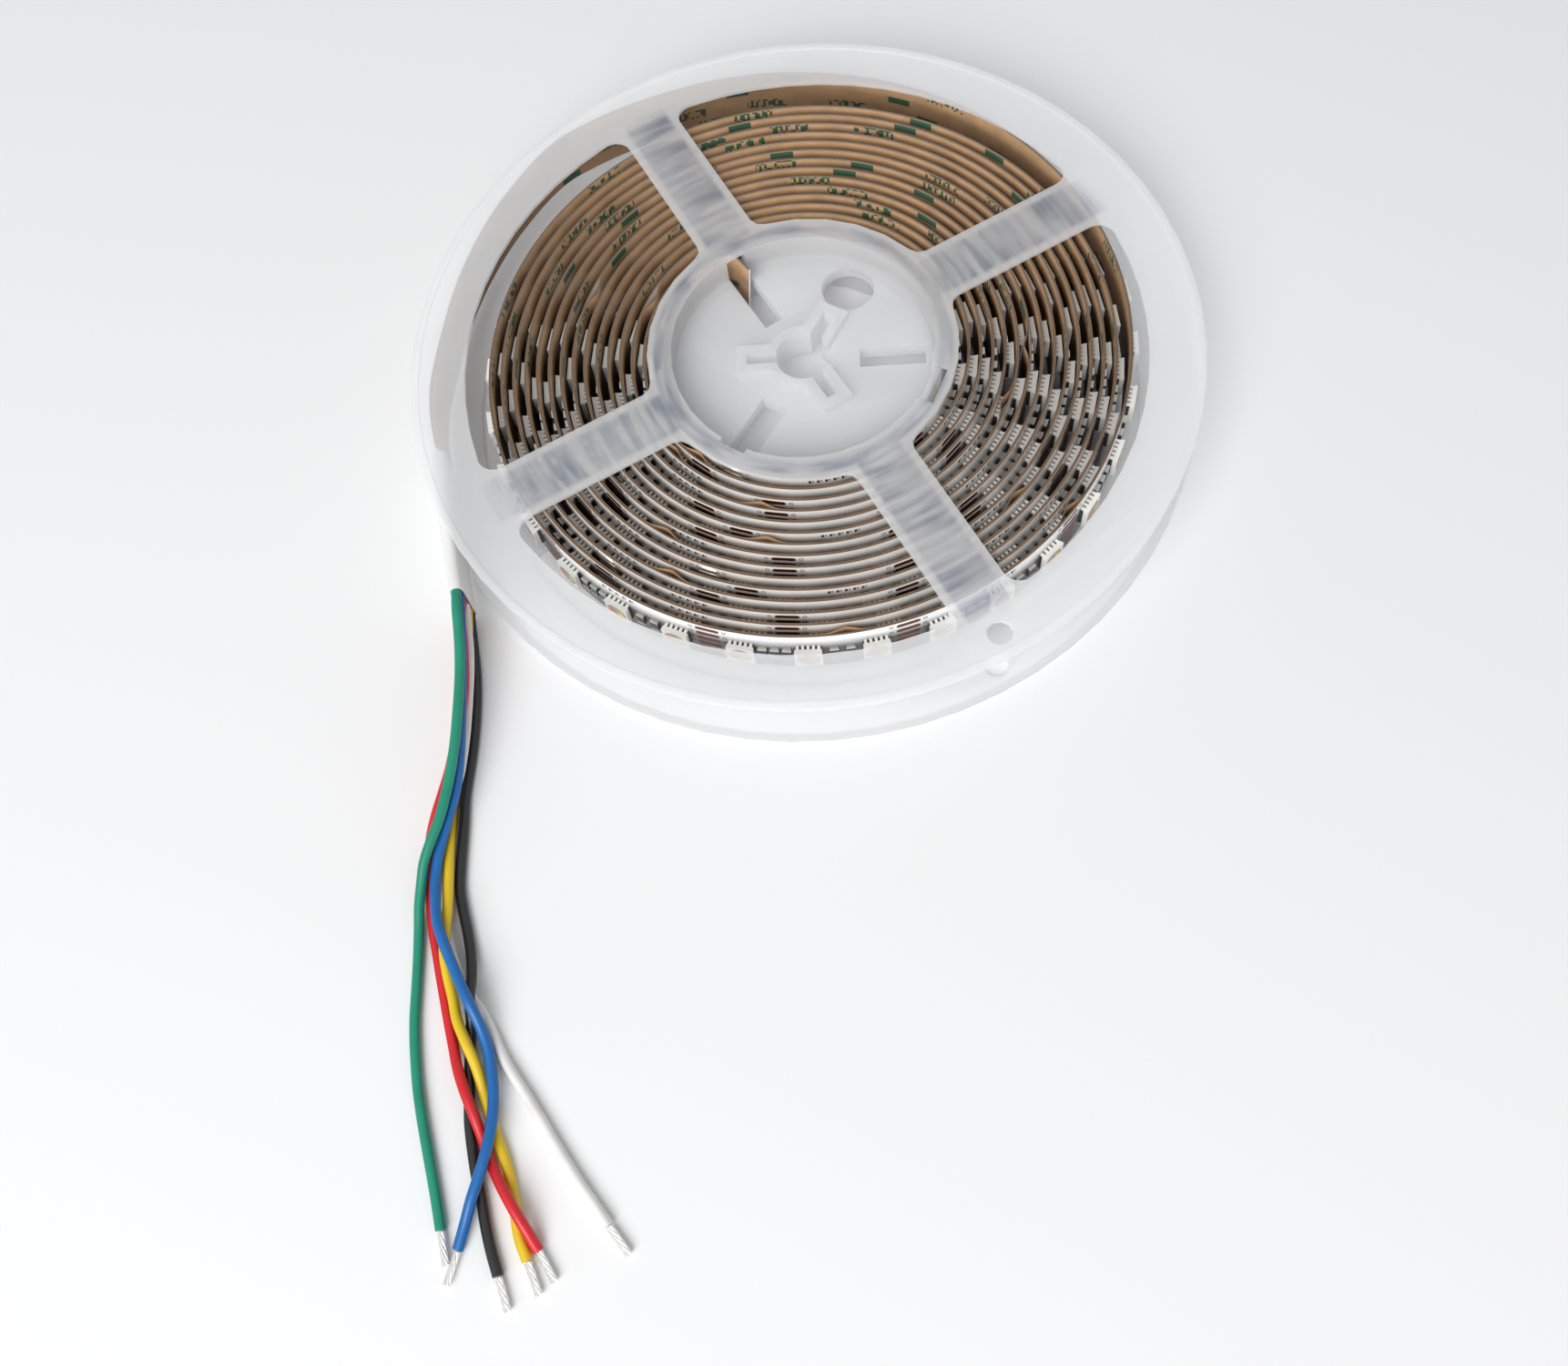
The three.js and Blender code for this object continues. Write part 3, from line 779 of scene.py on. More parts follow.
def insulation(wire: Wire) -> Finish:
    """The finish of one wire's insulation."""
    return Finish(
        name=f"{wire.value} insulation",
        slot=f"insulation_{wire.value}",
        colour=INSULATION_COLOURS[wire],
        roughness=0.36,
        mottle=0.05,
        mottle_scale=300.0,
        grain=0.000006,
        grain_scale=3000.0,
    )


def set_piece(piece: bpy.types.Object, finish: Finish, *nodes: str) -> bpy.types.Object:
    """Puts a finished piece on the reel's body.

    Args:
        piece: The piece, in place.
        finish: Its main finish; not used.
        nodes: The CAD nodes that it stands for.

    Returns:
        The piece.
    """
    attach(piece, BODY)
    if nodes:
        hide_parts(*nodes)
    LOG.info("%s: %d faces", piece.name, len(getattr(piece.data, "polygons", ())))
    return piece


# Lines


def polar(radius: float, azimuth: float, height: float = 0.0) -> Vector:
    """A point at a radius and an azimuth from the spool's axis."""
    angle = math.radians(azimuth)
    return Vector((radius * math.cos(angle), radius * math.sin(angle), height))


def through(points: Sequence[Vector], steps: int) -> list[Vector]:
    """A smooth line through points, as a centripetal Catmull-Rom curve.

    Args:
        points: The points.
        steps: The steps between one point and the next.

    Returns:
        The line's points, both ends included.
    """
    ends = [points[0] * 2 - points[1], *points, points[-1] * 2 - points[-2]]
    line = []
    for before, start, end, after in zip(ends, ends[1:], ends[2:], ends[3:]):
        line += [_blend(before, start, end, after, step / steps) for step in range(steps)]
    return [*line, points[-1].copy()]


def _blend(before: Vector, start: Vector, end: Vector, after: Vector, share: float) -> Vector:
    """The point at a share of the way from start to end."""
    spans = [max((b - a).length, 1e-9) ** 0.5 for a, b in ((before, start), (start, end), (end, after))]
    leaving = (end - start) / spans[1] + (start - before) / spans[0]
    leaving = (leaving - (end - before) / (spans[0] + spans[1])) * spans[1]
    arriving = (end - start) / spans[1] + (after - end) / spans[2]
    arriving = (arriving - (after - start) / (spans[1] + spans[2])) * spans[1]
    square, cube = share**2, share**3
    return (
        start * (2 * cube - 3 * square + 1)
        + leaving * (cube - 2 * square + share)
        + end * (3 * square - 2 * cube)
        + arriving * (cube - square)
    )


def travelled(line: Sequence[Vector]) -> list[float]:
    """The distance along a line at each of its points."""
    distances = [0.0]
    for start, end in zip(line, line[1:]):
        distances.append(distances[-1] + (end - start).length)
    return distances


@dataclass
class TapeLine:
    """The line in plan between the tape's board and its backing paper.

    Attributes:
        barrel: The spool barrel's radius.
        clearance: The room between the barrel and the first turn.
        paper: The backing paper's thickness.
        peel: The gap between paper and board.
        board: The board's thickness.
        lamp: The height of the LED packages.
        slack: The room left between a package and the next turn.
        turns: The number of tight turns.
        first_azimuth: Where the first turn starts.
        rim: The flange's radius.
        step: The azimuth step of the smooth line.
        tail_azimuth: The direction of the slot that the inner end is tucked in.
        tail: The inner end, as the way out along the slot and the way to its side, in millimetres.
        join: How far round the first turn the tail runs into it.
        tail_steps: The steps from one point of the tail to the next.
        loose: The loose outer turn, as azimuth and share of the way to the flange's rim.
        loose_steps: The steps from one point of the loose turn to the next.
        points: The line's points, worked out from the rest.
        distances: The distance along the tape at each of them.
    """

    barrel: float = 26.8 * MM
    clearance: float = 0.45 * MM
    paper: float = 0.15 * MM
    peel: float = 0.06 * MM
    board: float = 0.5 * MM
    lamp: float = 1.5 * MM
    slack: float = 0.07 * MM
    turns: float = 14 + 7 / 12
    first_azimuth: float = 120.0
    rim: float = 75 * MM
    step: float = 1.25
    tail_azimuth: float = 112.0
    tail: tuple[tuple[float, float], ...] = (
        (21.3, -0.1),
        (22.5, 0.0),
        (24.8, 0.15),
        (26.1, 0.7),
        (26.9, 1.8),
        (27.2, 3.2),
    )
    join: float = 15.0
    tail_steps: int = 8
    loose: tuple[tuple[float, float], ...] = (
        (345, 0.036),
        (360, 0.085),
        (375, 0.148),
        (390, 0.218),
        (405, 0.302),
        (420, 0.386),
        (435, 0.477),
        (450, 0.581),
        (465, 0.686),
        (478, 0.819),
        (484, 0.874),
        (495, 0.791),
        (510, 0.693),
        (525, 0.658),
        (537, 0.735),
        (546, 0.728),
    )
    loose_steps: int = 10
    points: list[Vector] = field(default_factory=list)
    distances: list[float] = field(default_factory=list)

    def __post_init__(self) -> None:
        """Works out the line's points and the distance to each."""
        pitch = self.board + self.peel + self.paper + self.lamp + self.slack
        first = self.barrel + self.clearance + self.paper + self.peel / 2
        wound = first + pitch * self.turns
        along = polar(1.0, self.tail_azimuth)
        across = polar(1.0, self.tail_azimuth + 90)
        tail = [along * (reach * MM) + across * (side * MM) for reach, side in self.tail]
        tight = []
        count = round((self.turns * 360 - self.join) / self.step)
        for index in range(count + 1):
            turned = self.join + index * self.step
            tight.append(polar(first + pitch * turned / 360, self.first_azimuth + turned))
        last = self.first_azimuth + 360 * self.turns
        spare = self.rim - wound
        shares = [Vector((0.0, 0.0, 0.0))]
        shares += [Vector((azimuth - last % 360, share, 0.0)) for azimuth, share in self.loose]
        reach = through(shares, self.loose_steps)
        loose = [polar(wound + spare * place.y, last + place.x) for place in reach[1:]]
        ahead = tight[4]
        start = through([*tail, tight[0], ahead], self.tail_steps)
        self.points = start[: self.tail_steps * len(tail) + 1] + tight[1:] + loose
        self.distances = travelled(self.points)

    @property
    def length(self) -> float:
        """The tape's length."""
        return self.distances[-1]

    def offset(self, shift: Callable[[int], float]) -> list[Vector]:
        """The line moved outwards in plan.

        Args:
            shift: Gives the distance outwards at a point's number.

        Returns:
            The moved points.
        """
        moved = []
        last = len(self.points) - 1
        for index, point in enumerate(self.points):
            way = self.points[min(index + 1, last)] - self.points[max(index - 1, 0)]
            outwards = Vector((way.y, -way.x, 0.0)).normalized()
            moved.append(point + outwards * shift(index))
        return moved

    def station(self, azimuth: float, radius: float) -> float:
        """The distance along the tape at which it passes nearest to a place.

        Args:
            azimuth: The place's azimuth.
            radius: The place's radius.

        Returns:
            The distance from the tape's inner end.
        """
        place = polar(radius, azimuth)
        nearest = min(range(len(self.points)), key=lambda index: (self.points[index] - place).length)
        return self.distances[nearest]

    def raised(self, line: Sequence[Vector], height: float) -> list[Vector]:
        """A line in plan, lifted to a height."""
        return [Vector((point.x, point.y, height)) for point in line]

    def at(self, line: Sequence[Vector], distance: float) -> Vector:
        """The point of an offset line at a distance along the tape.

        Args:
            line: The offset line, point for point as this one.
            distance: The distance from the tape's inner end.

        Returns:
            The point in plan.
        """
        index = min(max(bisect.bisect_left(self.distances, distance), 1), len(line) - 1)
        before, after = self.distances[index - 1], self.distances[index]
        return line[index - 1].lerp(line[index], (distance - before) / (after - before))


# Winding


class TemplateForm:
    """Small solids joined into one mesh, each with its own material."""

    def __init__(self, name: str) -> None:
        """Starts an empty template.

        Args:
            name: The template's name.
        """
        self.name = name
        self.form = bmesh.new()
        self.materials: list[bpy.types.Material] = []

    def _slot(self, finish: Finish) -> int:
        """The number of a finish's material in the template."""
        material = finish.material()
        if material not in self.materials:
            self.materials.append(material)
        return self.materials.index(material)

    def block(
        self,
        low: Sequence[float],
        high: Sequence[float],
        finish: Finish,
        taper: float = 0.0,
    ) -> None:
        """Adds a block between two corners.

        Args:
            low: The lowest corner.
            high: The highest corner.
            finish: The block's finish.
            taper: How far the outer face, at high y, is drawn in on each side.
        """
        slot = self._slot(finish)
        made = bmesh.ops.create_cube(self.form, size=1.0)["verts"]
        middle = [(a + b) / 2 for a, b in zip(low, high)]
        span = [b - a for a, b in zip(low, high)]
        for vertex in made:
            outer = vertex.co.y > 0
            for axis in range(3):
                reach = span[axis] - (2 * taper if outer and axis != 1 else 0.0)
                vertex.co[axis] = middle[axis] + vertex.co[axis] * reach
        self._paint(made, slot)

    def disc(
        self,
        centre: Sequence[float],
        radius: float,
        depth: float,
        finish: Finish,
        sides: int = 14,
    ) -> None:
        """Adds a round plate whose axis is the y axis.

        Args:
            centre: The middle of its inner face.
            radius: Its radius.
            depth: How far it stands out.
            finish: Its finish.
            sides: Its number of sides.
        """
        outline = [(radius * math.cos(angle), radius * math.sin(angle)) for angle in ring_angles(sides)]
        self.plate(outline, centre, depth, finish)

    def plate(
        self,
        outline: Sequence[tuple[float, float]],
        centre: Sequence[float],
        depth: float,
        finish: Finish,
    ) -> None:
        """Adds a flat plate on an outline in x and z.

        Args:
            outline: The outline's points about the centre.
            centre: The middle of the inner face.
            depth: How far the plate stands out along y.
            finish: Its finish.
        """
        slot = self._slot(finish)
        x, y, z = centre
        inner = [self.form.verts.new((x + u, y, z + v)) for u, v in outline]
        outer = [self.form.verts.new((x + u, y + depth, z + v)) for u, v in outline]
        faces = [self.form.faces.new(list(reversed(outer))), self.form.faces.new(inner)]
        for index, vertex in enumerate(inner):
            after = (index + 1) % len(inner)
            faces.append(self.form.faces.new([outer[index], outer[after], inner[after], vertex]))
        for face in faces:
            face.material_index = slot
        bmesh.ops.recalc_face_normals(self.form, faces=faces)

    def ring(
        self,
        centre: Sequence[float],
        radius: float,
        width: float,
        depth: float,
        finish: Finish,
        sides: int = 8,
    ) -> None:
        """Adds a thin ring that stands out along y.

        Args:
            centre: The middle of its inner face.
            radius: Its outer radius.
            width: The width of its wall.
            depth: How far it stands out.
            finish: Its finish.
            sides: Its number of sides.
        """
        slot = self._slot(finish)
        x, y, z = centre
        bore = radius - width
        loops = []
        for reach, height in ((radius, 0.0), (radius, depth), (bore, depth), (bore, 0.0)):
            loop = []
            for angle in ring_angles(sides):
                corner = (x + reach * math.cos(angle), y + height, z + reach * math.sin(angle))
                loop.append(self.form.verts.new(corner))
            loops.append(loop)
        faces = []
        for first, second in zip(loops, loops[1:] + loops[:1]):
            for index in range(len(first)):
                after = (index + 1) % len(first)
                corners = [first[index], first[after], second[after], second[index]]
                faces.append(self.form.faces.new(corners))
        for face in faces:
            face.material_index = slot
        bmesh.ops.recalc_face_normals(self.form, faces=faces)

    def _paint(self, vertices: Iterable[bmesh.types.BMVert], slot: int) -> None:
        """Gives the faces of some vertices a material number."""
        for face in {face for vertex in vertices for face in vertex.link_faces}:
            face.material_index = slot

    def place(self) -> bpy.types.Object:
        """Ends the template as an object."""
        mesh = bpy.data.meshes.new(self.name)
        self.form.to_mesh(mesh)
        self.form.free()
        for material in self.materials:
            mesh.materials.append(material)
        piece = bpy.data.objects.new(self.name, mesh)
        bpy.context.scene.collection.objects.link(piece)
        return piece


def ring_angles(sides: int) -> list[float]:
    """The angles of a ring's corners in radians."""
    return [2 * math.pi * index / sides for index in range(sides)]


@dataclass
class Winding:
    """The wound tape: board, backing paper, LED packages, resistors, pads and print.

    Attributes:
        line: The line that the tape follows.
        bottom: The height of the tape's lower edge.
        width: The tape's width.
        pitch: The distance from one LED package to the next.
        unit: The LED packages between one row of cut pads and the next.
        lamp_size: The side of an LED package.
        lamp_margin: The distance of the last package from the tape's outer end.
        pad_margin: The distance of the last pads from the tape's outer end.
        pad_count: The pads in one row across the tape.
        pad_spacing: The distance from one of them to the next.
        ring_reach: The distance of a ring mark from the middle of its pad.
        bare_end: The length of tape without parts at the inner end.
        end_margin: The length of tape without parts at the outer end.
        lean: How far the tape leans at its inner end, in degrees.
        lean_reach: The length of tape over which it comes upright.
        lean_curve: The power that shapes the way upright.
        bare_board: The thickness that the board's cut edge shows.
        bare_paper: The thickness that the paper's cut edge shows.
        buckle_height: How far the backing paper has lifted.
        buckle_spread: The length along the tape over which a buckle dies away.
        buckles: Where the backing paper has lifted, as azimuth and radius in millimetres.
        joints: Where lengths of tape are soldered together, as azimuth and radius in millimetres.
    """

    line: TapeLine
    bottom: float = 1.5 * MM
    width: float = 12 * MM
    pitch: float = 11.9 * MM
    unit: int = 3
    lamp_size: float = 5 * MM
    lamp_margin: float = 5.55 * MM
    pad_margin: float = 23.4 * MM
    pad_count: int = 6
    pad_spacing: float = 1.93 * MM
    ring_reach: float = 3.1 * MM
    bare_end: float = 29 * MM
    end_margin: float = 3 * MM
    lean: float = 6.0
    lean_reach: float = 7.5 * MM
    lean_curve: float = 0.8
    bare_board: float = 0.34 * MM
    bare_paper: float = 0.12 * MM
    buckle_height: float = 1.05 * MM
    buckle_spread: float = 2.1 * MM
    buckles: tuple[tuple[float, float], ...] = (
        (234, 53.8),
        (228, 46.6),
        (251, 41.6),
        (247, 34.8),
        (213, 33.5),
        (220, 30.6),
        (265, 27.8),
        (268, 62.9),
        (312, 60.6),
        (309, 50.8),
        (330, 40.2),
        (349, 42.1),
        (150, 44.0),
        (146, 33.0),
    )
    joints: tuple[tuple[float, float], ...] = ((233, 55), (226, 48), (261, 29.4))

    def build(self) -> None:
        """Builds and places every piece of the winding."""
        self.board()
        self.paper()
        self.lamps()
        self.resistors()
        self.pads()
        self.joint_domes()
        self.print_marks()

    @property
    def middle(self) -> float:
        """The height of the tape's middle line."""
        return self.bottom + self.width / 2

    @property
    def face(self) -> float:
        """The distance from the tape's line out to the board's outer face."""
        return self.line.peel / 2 + self.line.board

    def _lean_at(self, distance: float) -> float:
        """How far the tape leans at a distance from its inner end, in radians."""
        share = max(0.0, 1.0 - distance / self.lean_reach)
        return math.radians(self.lean) * share**self.lean_curve

    def _band(
        self,
        name: str,
        path: Sequence[Vector],
        thickness: float,
        finish: Finish,
    ) -> bpy.types.Object:
        """Sweeps the tape's section along a path, with a UV map in metres.

        Args:
            name: The piece's name.
            path: The line in plan that the section's middle follows.
            thickness: The section's thickness.
            finish: The piece's finish.

        Returns:
            The piece.
        """
        maker = Modeller(f"{name} section")
        across = maker.size("Width")
        deep = maker.size("Thickness")
        net = maker.net
        path_length = net.node("GeometryNodeSplineParameter").outputs["Length"]
        kept = self._capture(net, maker.geometry(), path_length)
        feeds = {"Width": deep, "Height": across}
        section = net.node("GeometryNodeCurvePrimitiveQuadrilateral", {"mode": "RECTANGLE"}, feeds)
        place = net.node("GeometryNodeInputPosition").outputs[0]
        height = net.node("ShaderNodeSeparateXYZ", feeds={0: place}).outputs["Y"]
        profile = self._capture(net, section.outputs[0], height)
        sweep = {"Curve": kept[0], "Profile Curve": profile[0], "Fill Caps": True}
        swept = net.node("GeometryNodeCurveToMesh", feeds=sweep).outputs[0]
        uv = net.node("ShaderNodeCombineXYZ", feeds={"X": kept[1], "Y": profile[1]}).outputs[0]
        store = {"data_type": "FLOAT2", "domain": "CORNER"}
        named = {"Geometry": swept, "Name": "UVMap", "Value": uv}
        stored = net.node("GeometryNodeStoreNamedAttribute", store, named).outputs[0]
        maker.finish(stored, finish.material())
        tilts = [self._lean_at(distance) for distance in self.line.distances]
        carrier = line_object(name, self.line.raised(path, self.middle), tilts)
        return maker.run(name, carrier, {"Width": self.width, "Thickness": thickness})

    @staticmethod
    def _capture(net: Net, geometry: Any, value: Any) -> tuple[Any, Any]:
        """Keeps a value on a curve's points.

        Args:
            net: The geometry tree.
            geometry: The curve.
            value: The value to keep.

        Returns:
            The curve and the kept value.
        """
        node = net.tree.nodes.new("GeometryNodeCaptureAttribute")
        node.capture_items.new("FLOAT", "Kept")
        net.feed(node.inputs[0], geometry)
        net.feed(node.inputs[1], value)
        return node.outputs[0], node.outputs[1]

    def board(self) -> None:
        """Builds the tape's flexible board."""
        shift = self.face - self.bare_board / 2
        path = self.line.offset(lambda index: shift)
        piece = self._band("tape_board", path, self.bare_board, BOARD)
        set_piece(smooth(piece), BOARD, "led_tape")

    def paper(self) -> None:
        """Builds the backing paper, lifted off the board where it has buckled."""
        shift = self.face - self.bare_board - (self.line.peel + self.bare_paper / 2)
        places = [self.line.station(azimuth, radius * MM) for azimuth, radius in self.buckles]

        def outwards(index: int) -> float:
            """The paper's distance out from the line, less its buckles."""
            here = self.line.distances[index]
            bells = (math.exp(-(((here - place) / self.buckle_spread) ** 2)) for place in places)
            return shift - self.buckle_height * min(sum(bells), 1.0)

        piece = self._band("tape_backing_paper", self.line.offset(outwards), self.bare_paper, LINER)
        set_piece(smooth(piece), LINER, "tape_liner")

    def _row(self, name: str, template: TemplateForm, places: Sequence[float]) -> bpy.types.Object:
        """Repeats a template on the board's outer face.

        Args:
            name: The piece's name.
            template: What is repeated, with x along the tape and y inwards.
            places: The distances from the tape's inner end.

        Returns:
            The piece.
        """
        maker = Modeller(f"{name} row")
        pattern = maker.size("Template", "NodeSocketObject")
        net = maker.net
        info = net.node("GeometryNodeObjectInfo", feeds={"Object": pattern, "As Instance": True})
        named = net.node("GeometryNodeInputNamedAttribute", {"data_type": "FLOAT_VECTOR"}, {"Name": "way"})
        forward = {"axis": "X", "pivot_axis": "Z"}
        turned = net.node("FunctionNodeAlignRotationToVector", forward, {"Vector": named.outputs[0]})
        stand = {
            "Points": maker.geometry(),
            "Instance": info.outputs["Geometry"],
            "Rotation": turned.outputs[0],
        }
        maker.finish(net.node("GeometryNodeInstanceOnPoints", feeds=stand).outputs[0], None)
        path = self.line.offset(lambda index: self.face)
        carrier = self._stations(name, path, places)
        model = template.place()
        piece = maker.run(name, carrier, {"Template": model})
        bpy.data.objects.remove(model)
        return piece

    def _stations(
        self,
        name: str,
        path: Sequence[Vector],
        places: Sequence[float],
    ) -> bpy.types.Object:
        """Makes one vertex at each place on the board's outer face, with the way the tape runs.

        Args:
            name: The object's name.
            path: The board's outer face in plan.
            places: The distances from the tape's inner end.

        Returns:
            The object.
        """
        spots = []
        ways = []
        beside = 0.4 * MM
        for place in places:
            near = self.line.at(path, place - beside)
            far = self.line.at(path, place + beside)
            spots.append((near + far) / 2 + Vector((0.0, 0.0, self.middle)))
            ways.append((far - near).normalized())
        mesh = bpy.data.meshes.new(name)
        mesh.from_pydata(spots, [], [])
        way = mesh.attributes.new("way", "FLOAT_VECTOR", "POINT")
        way.data.foreach_set("vector", [value for vector in ways for value in vector])
        piece = bpy.data.objects.new(name, mesh)
        bpy.context.scene.collection.objects.link(piece)
        return piece

    def _every(self, margin: float, spacing: float, steps: Sequence[float] = (0.0,)) -> list[float]:
        """Places in step with one at a margin from the tape's outer end.

        Args:
            margin: The distance of the last one from the outer end.
            spacing: The distance from one to the next.
            steps: The distances of the parts of one group from its start.

        Returns:
            The distances from the tape's inner end.
        """
        last = self.line.length - margin
        count = int((last - self.bare_end) / spacing)
        places = [last - spacing * index + step for index in range(-1, count + 1) for step in steps]
        outer = self.line.length - self.end_margin
        return [place for place in places if self.bare_end < place < outer]

    def lamps(self) -> None:
        """Builds the LED packages, their pins, resin and phosphors."""
        form = TemplateForm("led package")
        half = self.lamp_size / 2
        top = -self.line.lamp
        foot, taper = 0.62 * MM, 0.12 * MM
        form.block((-half, top, -half), (half, -foot, half), HOUSING, taper)
        along, across = half * 0.93, half * 0.86
        form.block((-along, -foot, -across), (along, 0.0, across), CERAMIC)
        pins, pin_spacing, pin_half, pin_height = 5, 0.95 * MM, 0.25 * MM, 0.8 * MM
        inner, outer = half * 0.84, half * 1.05
        for index in range(pins):
            x = (index - (pins - 1) // 2) * pin_spacing
            for side in (-1, 1):
                low, high = sorted((side * inner, side * outer))
                form.block((x - pin_half, -pin_height, low), (x + pin_half, 0.0, high), HOUSING)
        lens_radius, lens_rise, lens_depth = 2.15 * MM, 0.02 * MM, 0.04 * MM
        form.disc((0.0, top - lens_rise, 0.0), lens_radius, lens_depth, LENS)
        dot_rise, dot_bottom, dot_top = 0.035 * MM, -0.7 * MM, 0.9 * MM
        amber, yellow = (-1.5 * MM, -0.55 * MM), (0.5 * MM, 1.45 * MM)
        for (start, end), finish in ((amber, AMBER), (yellow, YELLOW)):
            form.block((start, top - dot_rise, dot_bottom), (end, top, dot_top), finish)
        set_piece(self._row("led_packages", form, self._every(self.lamp_margin, self.pitch)), HOUSING)

    def resistors(self) -> None:
        """Builds the chip resistors: three after one package, then two after the next."""
        form = TemplateForm("resistor")
        half, deep = 0.8 * MM, -0.62 * MM
        body, overall = 1.15 * MM, 1.6 * MM
        form.block((-half, deep, -body), (half, 0.0, body), CERAMIC)
        cap_half, cap_rise, cap_taper = half * 1.02, 0.02 * MM, 0.08 * MM
        for side in (-1, 1):
            start, end = sorted((side * body, side * overall))
            form.block((-cap_half, deep - cap_rise, start), (cap_half, 0.0, end), PLATED, cap_taper)
        spacing_of_three, half_spacing_of_two = 2.17 * MM, 1.45 * MM
        three = [self.pitch + step * spacing_of_three for step in (-1, 0, 1)]
        two = [self.pitch * 2 + step * half_spacing_of_two for step in (-1, 1)]
        places = self._every(self.pad_margin, self.pitch * self.unit, three + two)
        set_piece(self._row("chip_resistors", form, places), CERAMIC)

    def _pad_outline(self) -> list[tuple[float, float]]:
        """A cut pad's outline: a bar with round ends."""
        half, radius = 1.75 * MM, 0.52 * MM
        corners = 4
        points = []
        for side, turn in ((1, -90), (-1, 90)):
            for step in range(corners):
                angle = math.radians(turn + 180 / (corners - 1) * step)
                points.append((side * half + radius * math.cos(angle), radius * math.sin(angle)))
        return points

    def _pad_heights(self) -> list[float]:
        """The pads' places across the tape."""
        middle = (self.pad_count - 1) / 2
        return [(index - middle) * self.pad_spacing for index in range(self.pad_count)]

    def pads(self) -> None:
        """Builds the copper pads at each cut line, with a ring mark at both ends of each."""
        unit = self.pitch * self.unit
        bars = TemplateForm("cut pads")
        rings = TemplateForm("ring marks")
        pad_depth, mark_depth, mark_radius, mark_width = 0.03 * MM, 0.02 * MM, 0.42 * MM, 0.14 * MM
        for z in self._pad_heights():
            bars.plate(self._pad_outline(), (0.0, -pad_depth, z), pad_depth, PAD)
            rings.ring((0.0, -mark_depth, z), mark_radius, mark_width, mark_depth, MARK)
        set_piece(self._row("cut_pads", bars, self._every(self.pad_margin, unit)), PAD)
        sides = (-self.ring_reach, self.ring_reach)
        set_piece(self._row("ring_marks", rings, self._every(self.pad_margin, unit, sides)), MARK)

    def joint_domes(self) -> None:
        """Builds the solder on the pads where two lengths of tape are joined."""
        stations = self._every(self.pad_margin, self.pitch * self.unit)
        path = self.line.offset(lambda index: self.face)
        half_length, half_rise, half_height = 2.3 * MM, 0.45 * MM, 0.72 * MM
        beside = 0.3 * MM

        def build(form: bmesh.types.BMesh) -> None:
            """Adds six long domes at each joint."""
            for azimuth, radius in self.joints:
                rough = self.line.station(azimuth, radius * MM)
                place = min(stations, key=lambda station: abs(station - rough))
                ends = self.line.at(path, place - beside), self.line.at(path, place + beside)
                way = (ends[1] - ends[0]).normalized()
                out = Vector((way.y, -way.x, 0.0))
                for z in self._pad_heights():
                    dome = bmesh.ops.create_uvsphere(form, u_segments=16, v_segments=8, radius=1.0)
                    centre = ends[0].lerp(ends[1], 0.5) + Vector((0.0, 0.0, self.middle + z))
                    for vertex in dome["verts"]:
                        x, y, height = vertex.co
                        reach = way * x * half_length + out * y * half_rise
                        vertex.co = centre + reach + Vector((0.0, 0.0, height * half_height))

        piece = mesh_object("joint_solder", build)
        piece.data.materials.append(PLATED.material())
        set_piece(smooth(piece, 60), PLATED)

    def print_marks(self) -> None:
        """Builds the small plain ticks that are printed between some packages."""
        form = TemplateForm("board ticks")
        rise, top, spacing = 0.02 * MM, 5.1 * MM, 1.5 * MM
        wide, narrow = (-0.45 * MM, 0.1 * MM, 4.3 * MM), (0.3 * MM, 0.5 * MM, 4.5 * MM)
        for start, end, bottom in (wide, narrow):
            form.block((start, -rise, bottom), (end, 0.0, top), MARK)
        steps = [self.pitch * 1.5 + step * spacing for step in (-2, -1, 0, 1, 2)]
        places = self._every(self.pad_margin, self.pitch * self.unit * 2, steps)
        set_piece(self._row("board_marks", form, places), MARK)


# Spool


@dataclass
class Spool:
    """The two moulded halves of the spool.

    Attributes:
        edge: The radius of the moulded edges.
        sharp: The angle in degrees past which an edge is rounded.
        merge: The distance within which the loose triangles' corners are joined.
        flat: The angle in degrees under which triangles are one flat face.
    """

    edge: float = 0.16 * MM
    sharp: float = 40.0
    merge: float = 0.001 * MM
    flat: float = 1.0

    def build(self) -> None:
        """Builds and places both halves."""
        for node in ("spool_lower_half", "spool_upper_half"):
            self.half(node)

    def half(self, node: str) -> None:
        """Rounds the moulded edges of one half.

        Args:
            node: The CAD node that the half stands for.
        """
        copy = bpy.data.objects.new(node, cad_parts[node].data.copy())
        bpy.context.scene.collection.objects.link(copy)
        form = bmesh.new()
        form.from_mesh(copy.data)
        bmesh.ops.remove_doubles(form, verts=form.verts, dist=self.merge)
        flat = math.radians(self.flat)
        bmesh.ops.dissolve_limit(form, angle_limit=flat, verts=form.verts, edges=form.edges)
        form.to_mesh(copy.data)
        form.free()
        copy.data.materials.clear()
        copy.data.materials.append(FROSTED.material())
        bevel = copy.modifiers.new("edges", "BEVEL")
        bevel.width = self.edge
        bevel.segments = 2
        bevel.limit_method = "ANGLE"
        bevel.angle_limit = math.radians(self.sharp)
        bevel.use_clamp_overlap = True
        piece = plain_mesh(f"{node}_moulding", copy)
        set_piece(smooth(piece, 35), FROSTED, node)


# Lead


